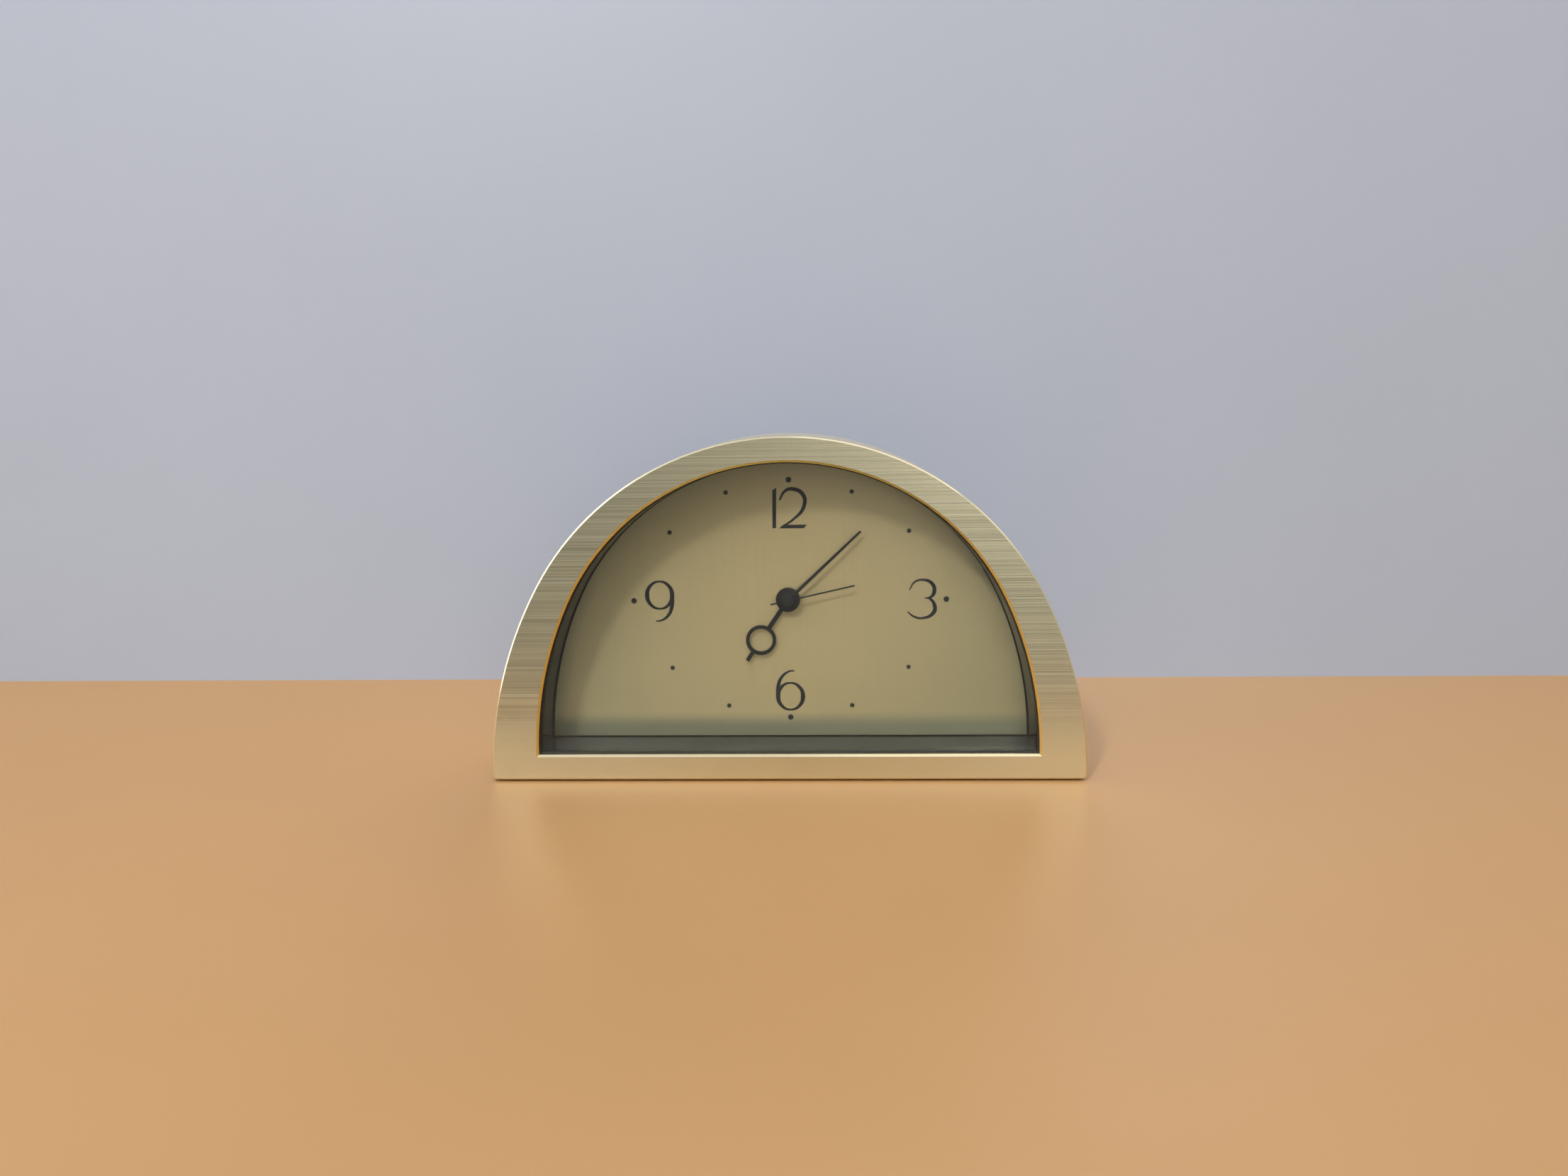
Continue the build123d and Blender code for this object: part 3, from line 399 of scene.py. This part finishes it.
def dial_finish():
    """Champagne dial sheet: satin, with fine upright brushing, darker outwards, partly as painted
    shade, and with painted shade at its foot.
    """
    champagne = (0.52, 0.40, 0.205)
    outward_shade_tone = (0.43, 0.355, 0.195, 1.0)
    foot_shade_tone = (0.20, 0.215, 0.155, 1.0)
    finish, tree, surface, at = new_finish("dial_champagne")
    lines = use(tree, lines_effect, Place=at["Object"], Strokes=(2600.0, 2600.0, 22.0))
    cloud = use(tree, mottle_effect, Place=at["Object"], Scale=14.0)["Cloud"]
    streak = between(tree, lines["Fine"], shade(champagne, 0.975), shade(champagne, 1.025))
    band_share = arithmetic(tree, "MULTIPLY", lines["Broad"], 0.1)
    banded = between(tree, band_share, streak, shade(champagne, 0.92))
    # Darker away from the arbor, towards the recess walls: partly painted shade
    from_arbor = place(tree, "ShaderNodeVectorMath", {"operation": "DISTANCE"}, Vector=at["Object"])
    from_arbor.inputs[1].default_value = (0.0, dial_depth / per_metre, arbor_height / per_metre)
    near, far = outward_shade_reach
    outward_shade = spread(tree, from_arbor.outputs["Value"], near / per_metre, far / per_metre, 0.0, 0.85)
    uneven = arithmetic(tree, "MULTIPLY_ADD", cloud, 0.15, outward_shade)
    outward_shaded = between(tree, uneven, banded, outward_shade_tone)
    # Painted shade and painted reflection of the dark recess floor darken the dial towards its foot
    low, high = foot_shade_height
    foot = spread(tree, axes(tree, at["Object"])["Z"], low / per_metre, high / per_metre, 0.8, 0.0)
    set_inputs(
        tree, surface,
        Metallic=0.55,
        Base_Color=between(tree, foot, outward_shaded, foot_shade_tone),
        Roughness=spread(tree, lines["Fine"], 0.0, 1.0, 0.23, 0.26),
        Normal=relief(tree, lines["Fine"], 0.03, 0.01),
    )
    return finish


def surround_finish():
    """Glossy black recess: a little dust on its floor, and painted shadow where it meets the dial."""
    bare = (0.004, 0.004, 0.004, 1.0)
    film = (0.026, 0.032, 0.034, 1.0)
    speck = (0.28, 0.27, 0.25, 1.0)
    joint_shadow_tone = (0.003, 0.003, 0.003, 1.0)
    finish, tree, surface, at = new_finish("surround_black")
    dust = use(tree, dust_effect, Place=at["Object"], Facing=at["Normal"], Scale=90.0)
    grain = use(tree, grain_effect, Place=at["Object"], Scale=1500.0)["Grain"]
    filmed = between(tree, dust["Film"], bare, film)
    dusty = between(tree, arithmetic(tree, "MULTIPLY", dust["Specks"], 0.35), filmed, speck)
    # Painted shadow: the recess turns darker and duller towards the dial, further up the walls than on
    # the floor
    upward = axes(tree, at["Normal"])["Z"]
    reach = spread(tree, upward, 0.5, 0.9, joint_shadow_on_wall / per_metre, joint_shadow_on_floor / per_metre)
    from_dial = arithmetic(tree, "SUBTRACT", dial_depth / per_metre, axes(tree, at["Object"])["Y"])
    joint_shadow = spread(tree, arithmetic(tree, "DIVIDE", from_dial, reach), 0.8, 1.1, 1.0, 0.0)
    dusty_roughness = spread(tree, dust["Film"], 0.0, 1.0, 0.16, 0.24)
    joint_shadow_roughness = arithmetic(tree, "MULTIPLY", joint_shadow, 0.9)
    set_inputs(
        tree, surface,
        Base_Color=between(tree, joint_shadow, dusty, joint_shadow_tone),
        Specular_IOR_Level=arithmetic(tree, "MULTIPLY_ADD", joint_shadow, -0.1, 0.14),
        Roughness=arithmetic(tree, "MAXIMUM", dusty_roughness, joint_shadow_roughness),
        Normal=relief(tree, grain, 0.1, 0.01),
    )
    return finish


def lens_finish():
    """Clear pane that lets lamp light through to the dial."""
    shadow_tint = (0.93, 0.95, 0.94, 1.0)
    finish, tree, surface, at = new_finish("lens_glass")
    wiped = use(tree, mottle_effect, Place=at["Object"], Scale=40.0)["Cloud"]
    set_inputs(
        tree, surface,
        Transmission_Weight=1.0,
        IOR=1.4,
        Base_Color=(0.965, 0.985, 0.97, 1.0),
        Roughness=spread(tree, wiped, 0.3, 1.0, 0.0, 0.03),
    )
    path = tree.nodes.new("ShaderNodeLightPath").outputs
    see_through(tree, surface, path["Is Shadow Ray"], shadow_tint)
    return finish


def winding_finish():
    """Enamelled copper wire laid side by side across the coil, with painted shade in the grooves
    between turns and a painted highlight on their crowns.
    """
    # Painted shade between the turns and painted highlight on their crowns
    groove_shade = (0.22, 0.07, 0.03, 1.0)
    crown_highlight = (0.66, 0.29, 0.13, 1.0)
    enamel = (0.58, 0.22, 0.09, 1.0)
    finish, tree, surface, at = new_finish("coil_copper")
    wave = place(
        tree, "ShaderNodeTexWave", {"bands_direction": "X"}, Vector=at["Object"], Scale=1500.0
    )
    turns = wave.outputs["Fac"]
    cloud = use(tree, mottle_effect, Place=at["Object"], Scale=300.0)["Cloud"]
    set_inputs(
        tree, surface,
        Metallic=0.9,
        Base_Color=between(tree, cloud, between(tree, turns, groove_shade, crown_highlight), enamel),
        Roughness=spread(tree, cloud, 0.0, 1.0, 0.22, 0.38),
        Normal=relief(tree, turns, 0.6, 0.05),
    )
    return finish


def board_finish():
    """Green circuit board with paler tracks under its mask."""
    dark_mask = (0.025, 0.14, 0.06, 1.0)
    pale_mask = (0.04, 0.20, 0.09, 1.0)
    track = (0.10, 0.32, 0.14, 1.0)
    finish, tree, surface, at = new_finish("board_green")
    upright = (radians(90), 0.0, 0.0)
    turned = place(tree, "ShaderNodeMapping", Vector=at["Object"], Rotation=upright).outputs[0]
    bricks = place(tree, "ShaderNodeTexBrick", Vector=turned, Scale=180.0, Mortar_Size=0.05)
    tracks = bricks.outputs["Fac"]
    cloud = use(tree, mottle_effect, Place=at["Object"], Scale=120.0)["Cloud"]
    mask = between(tree, cloud, dark_mask, pale_mask)
    set_inputs(
        tree, surface,
        Base_Color=between(tree, tracks, mask, track),
        Roughness=spread(tree, cloud, 0.0, 1.0, 0.25, 0.38),
        Normal=relief(tree, tracks, 0.3, 0.03),
    )
    return finish


def cell_finish():
    """Dry cell: dark sleeve with one pale band, bare metal at both ends."""
    dark_sleeve = (0.018, 0.020, 0.026, 1.0)
    pale_sleeve = (0.028, 0.031, 0.038, 1.0)
    band_tone = (0.55, 0.36, 0.10, 1.0)
    bare_tone = (0.62, 0.61, 0.58, 1.0)
    finish, tree, surface, at = new_finish("cell_sleeve")
    low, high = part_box("dry_cell")
    along = axes(tree, at["Object"])["X"]
    cloud = use(tree, mottle_effect, Place=at["Object"], Scale=90.0)["Cloud"]
    sleeve = between(tree, cloud, dark_sleeve, pale_sleeve)
    band = arithmetic(tree, "GREATER_THAN", along, high.x - cell_band / per_metre)
    printed = between(tree, band, sleeve, band_tone)
    right_end = arithmetic(tree, "GREATER_THAN", along, high.x - cell_bare_right / per_metre)
    left_end = arithmetic(tree, "LESS_THAN", along, low.x + cell_bare_left / per_metre)
    bare = arithmetic(tree, "MAXIMUM", right_end, left_end)
    set_inputs(
        tree, surface,
        Base_Color=between(tree, bare, printed, bare_tone),
        Metallic=arithmetic(tree, "MULTIPLY", bare, 0.95),
        Roughness=spread(tree, cloud, 0.0, 1.0, 0.22, 0.36),
    )
    return finish


def hand_finish(name, colour):
    """Dull black paint with a faint brown cast."""
    finish, tree, surface, at = new_finish(name)
    cloud = use(tree, mottle_effect, Place=at["Object"], Scale=220.0)["Cloud"]
    grain = use(tree, grain_effect, Place=at["Object"], Scale=3000.0)["Grain"]
    set_inputs(
        tree, surface,
        Base_Color=between(tree, cloud, shade(colour, 0.75), shade(colour, 1.35)),
        Roughness=spread(tree, cloud, 0.0, 1.0, 0.45, 0.6),
        Normal=relief(tree, grain, 0.3, 0.01),
        Specular_IOR_Level=0.2,
    )
    return finish


# Moulded slots: colour, roughness, grains per metre, and depth of the grain in millimetres
moulded_slots = {
    "pad_rubber": ((0.03, 0.03, 0.03), 0.75, 900.0, 0.04),
    "gasket_rubber": ((0.018, 0.018, 0.018), 0.7, 1200.0, 0.04),
    "movement_black": ((0.028, 0.028, 0.031), 0.5, 1400.0, 0.04),
    "bridge_plastic": ((0.66, 0.64, 0.57), 0.45, 1800.0, 0.04),
    "bobbin_plastic": ((0.62, 0.60, 0.52), 0.4, 1800.0, 0.04),
    "chip_resin": ((0.012, 0.012, 0.012), 0.28, 700.0, 0.04),
    "wheel_plastic": ((0.72, 0.70, 0.62), 0.35, 2200.0, 0.02),
    "magnet_grey": ((0.14, 0.14, 0.15), 0.55, 3000.0, 0.04),
    "knob_black": ((0.03, 0.03, 0.033), 0.45, 1400.0, 0.04),
    "cover_black": ((0.03, 0.03, 0.03), 0.55, 1100.0, 0.06),
}

# Metal slots: colour, roughness, strokes per metre along each axis, and their contrast
metal_slots = {
    "shell_brass": ((0.80, 0.71, 0.48), 0.28, (25.0, 2400.0, 25.0), 0.06),
    "screw_steel": ((0.62, 0.62, 0.61), 0.32, (900.0, 400.0, 900.0), 0.12),
    "clip_steel": ((0.50, 0.50, 0.50), 0.38, (1200.0, 300.0, 300.0), 0.12),
    "stator_iron": ((0.46, 0.46, 0.46), 0.42, (300.0, 900.0, 900.0), 0.12),
    "crystal_can": ((0.72, 0.72, 0.73), 0.22, (200.0, 1500.0, 1500.0), 0.12),
    "contact_nickel": ((0.72, 0.70, 0.66), 0.25, (1200.0, 300.0, 900.0), 0.12),
}

finishes = {
    "frame_brass": frame_finish(),
    "lens_glass": lens_finish(),
    "surround_black": surround_finish(),
    "dial_champagne": dial_finish(),
    "coil_copper": winding_finish(),
    "board_green": board_finish(),
    "cell_sleeve": cell_finish(),
    "hand_black": hand_finish("hand_black", (0.007, 0.006, 0.005)),
}
for slot, look in moulded_slots.items():
    finishes[slot] = moulded_finish(slot, *look)
for slot, look in metal_slots.items():
    finishes[slot] = metal_finish(slot, *look)

for subpart in frame["record"]["subparts"]:
    piece = frame["nodes"][subpart["node"]]
    piece.data.materials.clear()
    piece.data.materials.append(finishes[subpart["material_slot"]])

# The second hand is a little paler than the other two
second_hand_paint = hand_finish("second_hand_black", (0.011, 0.0105, 0.010))
frame["nodes"]["second_hand"].data.materials[0] = second_hand_paint


# Shapes

def new_object(name, shape, finish):
    """An object with one finish, made from a shape and standing at the origin."""
    mesh = bpy.data.meshes.new(name)
    shape.to_mesh(mesh)
    shape.free()
    mesh.materials.append(finish)
    made = bpy.data.objects.new(name, mesh)
    bpy.context.scene.collection.objects.link(made)
    return made


def set_piece(name, shape, onto, finish, body):
    """Makes a shape a piece of the clock: carried onto its plane, finished and riding on a body."""
    bmesh.ops.transform(shape, matrix=onto, verts=shape.verts)
    bmesh.ops.recalc_face_normals(shape, faces=shape.faces)
    piece = new_object(name, shape, finish)
    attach(piece, body)


def flat_bar(shape, corners, thickness):
    """Adds one flat piece with straight sides to a shape."""
    outline = [shape.verts.new((across / per_metre, up / per_metre, 0.0)) for across, up in corners]
    face = shape.faces.new(outline)
    raised = bmesh.ops.extrude_face_region(shape, geom=[face])
    top = [item for item in raised["geom"] if isinstance(item, bmesh.types.BMVert)]
    bmesh.ops.translate(shape, vec=(0.0, 0.0, thickness / per_metre), verts=top)


# Dial print

def pen_stroke(shape, points, closed=False):
    """Adds one printed stroke with swelling width to a shape, on the dial's own plane."""
    line = bpy.data.curves.new("pen_line", "CURVE")
    line.dimensions = "3D"
    line.bevel_depth = pen_radius / per_metre
    line.bevel_resolution = 2
    line.resolution_u = 10
    line.use_fill_caps = True
    spline = line.splines.new("BEZIER")
    spline.bezier_points.add(len(points) - 1)
    spline.use_cyclic_u = closed
    for knot, (across, up, width) in zip(spline.bezier_points, points):
        knot.co = (across / per_metre, up / per_metre, 0.0)
        knot.radius = width
        knot.handle_left_type = "AUTO"
        knot.handle_right_type = "AUTO"
    stroke = bpy.data.objects.new("pen_line", line)
    bpy.context.scene.collection.objects.link(stroke)
    drawn = bpy.data.meshes.new_from_object(stroke.evaluated_get(bpy.context.evaluated_depsgraph_get()))
    for vertex in drawn.vertices:
        vertex.co.z = vertex.co.z * pen_roundness + ink_thickness / 2 / per_metre
    shape.from_mesh(drawn)
    bpy.data.objects.remove(stroke)
    bpy.data.curves.remove(line)
    bpy.data.meshes.remove(drawn)


def bowl(middle):
    """Closed round stroke of a number, thin above and below, swelling at its sides."""
    turns = [radians(45 * step) for step in range(8)]
    return [
        (
            middle[0] + bowl_half_width * cos(turn),
            middle[1] + bowl_half_height * sin(turn),
            bowl_thin + bowl_swell * cos(turn) ** 2,
        )
        for turn in turns
    ]


def beside(middle, stroke, way):
    """A stroke set beside the middle of a bowl: upright for a way of 1, turned half round for -1."""
    return [(middle[0] + way * across, middle[1] + way * up, width) for across, up, width in stroke]


def round_dot(shape, across, up, radius):
    """Adds one printed dot with a sloped rim to a shape."""
    lift = Matrix.Translation((across / per_metre, up / per_metre, ink_thickness / 2 / per_metre))
    bmesh.ops.create_cone(
        shape, cap_ends=True, segments=dot_sides, radius1=radius / per_metre,
        radius2=radius * dot_taper / per_metre, depth=ink_thickness / per_metre, matrix=lift,
    )


onto_dial = Matrix((
    (1.0, 0.0, 0.0, 0.0),
    (0.0, 0.0, -1.0, dial_depth / per_metre),
    (0.0, 1.0, 0.0, arbor_height / per_metre),
    (0.0, 0.0, 0.0, 1.0),
))
ink = hand_finish("dial_ink", (0.008, 0.008, 0.009))

numbers = bmesh.new()
flat_bar(numbers, twelve_bar, ink_thickness)
flat_bar(numbers, twelve_foot, ink_thickness)
pen_stroke(numbers, twelve_hook)
pen_stroke(numbers, three_top)
pen_stroke(numbers, three_foot)
for middle, way in ((six_middle, 1), (nine_middle, -1)):
    pen_stroke(numbers, bowl(middle), closed=True)
    pen_stroke(numbers, beside(middle, long_stroke, way))
set_piece("dial_numbers", numbers, onto_dial, ink, "case")

dots = bmesh.new()
for hour in range(12):
    quarter = min(hour % 6, 6 - hour % 6)
    turn = radians(30 * hour)
    reach = dot_distance[quarter]
    across = dot_middle[0] + reach * sin(turn)
    up = dot_middle[1] + reach * cos(turn)
    round_dot(dots, across, up, dot_radius[quarter])
set_piece("hour_dots", dots, onto_dial, ink, "case")


# Moulded marks at the back

door_low, door_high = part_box("battery_door")
knob_low, knob_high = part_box("setting_knob")
cover = finishes["cover_black"]


def onto_back(across, height):
    """Carries a flat shape onto the back cover's outside, with its middle at a place in metres."""
    return Matrix((
        (1.0, 0.0, 0.0, across),
        (0.0, 0.0, 1.0, door_high.y),
        (0.0, 1.0, 0.0, height),
        (0.0, 0.0, 0.0, 1.0),
    ))


def on_arc(distance, turn):
    """A corner at a distance and a turn in degrees from the knob's middle."""
    return (distance * cos(radians(turn)), distance * sin(radians(turn)))


arc_turns = range(arrow_start, arrow_neck + 1, arrow_step)
arrow_corners = [on_arc(arrow_reach + arrow_width / 2, turn) for turn in arc_turns]
arrow_corners.append(on_arc(arrow_reach + arrow_head / 2, arrow_neck))
arrow_corners.append(on_arc(arrow_reach, arrow_tip))
arrow_corners.append(on_arc(arrow_reach - arrow_head / 2, arrow_neck))
arrow_corners += [on_arc(arrow_reach - arrow_width / 2, turn) for turn in reversed(arc_turns)]
arrow = bmesh.new()
flat_bar(arrow, arrow_corners, arrow_rise)
knob_middle = (knob_low + knob_high) / 2
around_knob = onto_back(knob_middle.x, knob_middle.z)
set_piece("turn_arrow", arrow, around_knob, cover, "case")

ridge_width, ridge_height, ridge_rise = (length / per_metre for length in ridge_size)
ridges = bmesh.new()
for drop in ridge_drops:
    lift = Matrix.Translation((0.0, -drop / per_metre, ridge_rise / 2))
    stretch = Matrix.Diagonal((ridge_width, ridge_height, ridge_rise, 1.0))
    bmesh.ops.create_cube(ridges, size=1.0, matrix=lift @ stretch)
rims = [edge for edge in ridges.edges if all(vertex.co.z > 0 for vertex in edge.verts)]
bmesh.ops.bevel(
    ridges, geom=rims, offset=ridge_bevel / per_metre, offset_type="OFFSET", affect="EDGES",
    segments=2, profile=0.5, material=-1,
)
set_piece("door_ridges", ridges, onto_back(0.0, door_high.z), cover, "door")


# Studio, in metres

stage_reach = 3.0
wall_distance = 0.13
lamp_aim = (0.0, 0.0, 0.05)


def stage_sheet(name, corners, finish):
    """A flat stage piece from its four corners."""
    shape = bmesh.new()
    shape.faces.new([shape.verts.new(corner) for corner in corners])
    sheet = new_object(name, shape, finish)
    return sheet


def stage_paint(name, colour):
    """Plain painted stage surface with its node tree, surface shader and coordinates."""
    finish, tree, surface, at = new_finish(name)
    cloud = use(tree, mottle_effect, Place=at["Object"], Scale=6.0)["Cloud"]
    set_inputs(
        tree, surface,
        Base_Color=between(tree, cloud, shade(colour, 0.985), shade(colour, 1.015)),
        Roughness=0.45,
        Specular_IOR_Level=0.3,
    )
    return finish, tree, surface, at


def floor_finish(colour):
    """Floor paint that fades out of mirror images towards the viewer's side of the room."""
    gone, whole = -0.20, -0.04
    finish, tree, surface, at = stage_paint("floor_paint", colour)
    path = tree.nodes.new("ShaderNodeLightPath").outputs
    away = spread(tree, axes(tree, at["Object"])["Y"], gone, whole, 1.0, 0.0)
    mirrored = arithmetic(tree, "MULTIPLY", away, path["Is Glossy Ray"])
    see_through(tree, surface, arithmetic(tree, "MAXIMUM", mirrored, path["Is Transmission Ray"]))
    return finish


def wall_finish(colour):
    """Wall paint that is seen through from behind, and bright at its far ends in mirror images."""
    near, far = 0.35, 0.8
    left_glow, right_glow = 1.4, 0.2
    finish, tree, surface, at = stage_paint("wall_paint", colour)
    path = tree.nodes.new("ShaderNodeLightPath").outputs
    along = axes(tree, at["Object"])["X"]
    left_end = spread(tree, along, -far, -near, left_glow, 0.0)
    right_end = spread(tree, along, near, far, 0.0, right_glow)
    far_ends = arithmetic(tree, "ADD", left_end, right_end)
    set_inputs(
        tree, surface,
        Emission_Color=(1.0, 0.99, 0.96, 1.0),
        Emission_Strength=arithmetic(tree, "MULTIPLY", far_ends, path["Is Glossy Ray"]),
    )
    see_through(tree, surface, tree.nodes.new("ShaderNodeNewGeometry").outputs["Backfacing"])
    return finish


def soft_lamp(name, where, aim, size, power):
    """A soft lamp turned to a point: place in metres, width and height, and watts."""
    lamp = bpy.data.lights.new(name, "AREA")
    lamp.shape = "RECTANGLE"
    lamp.size, lamp.size_y = size
    lamp.energy = power
    holder = bpy.data.objects.new(name, lamp)
    bpy.context.scene.collection.objects.link(holder)
    holder.location = where
    holder.rotation_euler = (Vector(aim) - Vector(where)).to_track_quat("-Z", "Y").to_euler()


def studio_sky():
    """Plain to the camera, uneven light on the clock, and bright panels in mirror images."""
    level_middle, level_slope = 0.31, 7.0
    level_low, level_high = 0.16, 0.48
    world = bpy.data.worlds.new("studio")
    world.use_nodes = True
    bpy.context.scene.world = world
    tree = world.node_tree
    path = tree.nodes.new("ShaderNodeLightPath").outputs
    toward = tree.nodes.new("ShaderNodeTexCoord").outputs["Generated"]
    heading = axes(tree, toward)
    upward = heading["Z"]

    # Light on the clock: its level slopes from side to side, and more so higher up
    slant = arithmetic(tree, "MULTIPLY", heading["X"], arithmetic(tree, "ADD", upward, 0.2))
    level = arithmetic(tree, "MULTIPLY_ADD", slant, level_slope, level_middle)
    level = arithmetic(tree, "MINIMUM", arithmetic(tree, "MAXIMUM", level, level_low), level_high)
    light = tree.nodes["Background"]
    set_inputs(tree, light, Color=(1.0, 0.95, 0.86, 1.0), Strength=level)

    # Panels in mirror images: a ring around the ceiling, weaker to the right, and a window to the left
    low_edge = spread(tree, upward, 0.3, 0.5)
    high_edge = spread(tree, upward, 0.6, 0.8, 1.0, 0.0)
    lean = spread(tree, heading["X"], 0.1, 0.6, 1.0, 0.25)
    ring = arithmetic(tree, "MULTIPLY", arithmetic(tree, "MULTIPLY", low_edge, high_edge), lean)
    to_left = spread(tree, heading["X"], -0.85, -0.65, 0.6, 0.0)
    window = arithmetic(tree, "MULTIPLY", to_left, spread(tree, upward, -0.25, 0.0))
    bright = arithmetic(tree, "MAXIMUM", ring, window)
    mirrored = arithmetic(tree, "MULTIPLY", bright, path["Is Glossy Ray"])
    panel = place(tree, "ShaderNodeBackground", Color=(1.0, 0.99, 0.96, 1.0), Strength=3.0)
    lit = mix_shaders(tree, mirrored, light, panel)

    # The camera sees the wall's colour go on
    plain = place(tree, "ShaderNodeBackground", Color=(0.47, 0.49, 0.56, 1.0), Strength=1.0)
    either = mix_shaders(tree, path["Is Camera Ray"], lit, plain)
    tree.links.new(either.outputs[0], tree.nodes["World Output"].inputs["Surface"])


floor_corners = [
    (-stage_reach, -stage_reach, 0.0), (stage_reach, -stage_reach, 0.0),
    (stage_reach, stage_reach, 0.0), (-stage_reach, stage_reach, 0.0),
]
wall_corners = [
    (-stage_reach, wall_distance, 0.0), (stage_reach, wall_distance, 0.0),
    (stage_reach, wall_distance, stage_reach), (-stage_reach, wall_distance, stage_reach),
]
stage_sheet("floor", floor_corners, floor_finish((0.56, 0.32, 0.135)))
wall = stage_sheet("wall", wall_corners, wall_finish((0.47, 0.545, 0.69)))
wall.visible_diffuse = False
wall.visible_shadow = False

soft_lamp("ceiling_lamp", (0.0, -0.3, 1.6), (0.0, -0.3, 0.0), (3.0, 3.0), 18.0)
soft_lamp("key_lamp", (-0.45, -1.2, 1.0), lamp_aim, (0.14, 0.14), 11.5)
soft_lamp("side_strip", (0.38, -1.5, 0.5), lamp_aim, (0.4, 0.8), 2.0)
soft_lamp("rear_lamp", (0.2, 1.5, 0.55), lamp_aim, (1.0, 1.0), 9.0)
studio_sky()

# Camera at the photograph's viewing angle: place, and turns in degrees
camera_place = (0.0121, -0.4196, 0.1193)
camera_turns = (81.81, 0.6, 1.76)
camera = bpy.data.cameras.new("photo_camera")
camera.lens = 29.3
camera.sensor_width = 36.0
camera.sensor_fit = "HORIZONTAL"
camera.clip_start = 0.01
viewer = bpy.data.objects.new("photo_camera", camera)
viewer.location = camera_place
viewer.rotation_euler = [radians(turn) for turn in camera_turns]
bpy.context.scene.collection.objects.link(viewer)
bpy.context.scene.camera = viewer
bpy.context.scene.view_settings.view_transform = "Standard"
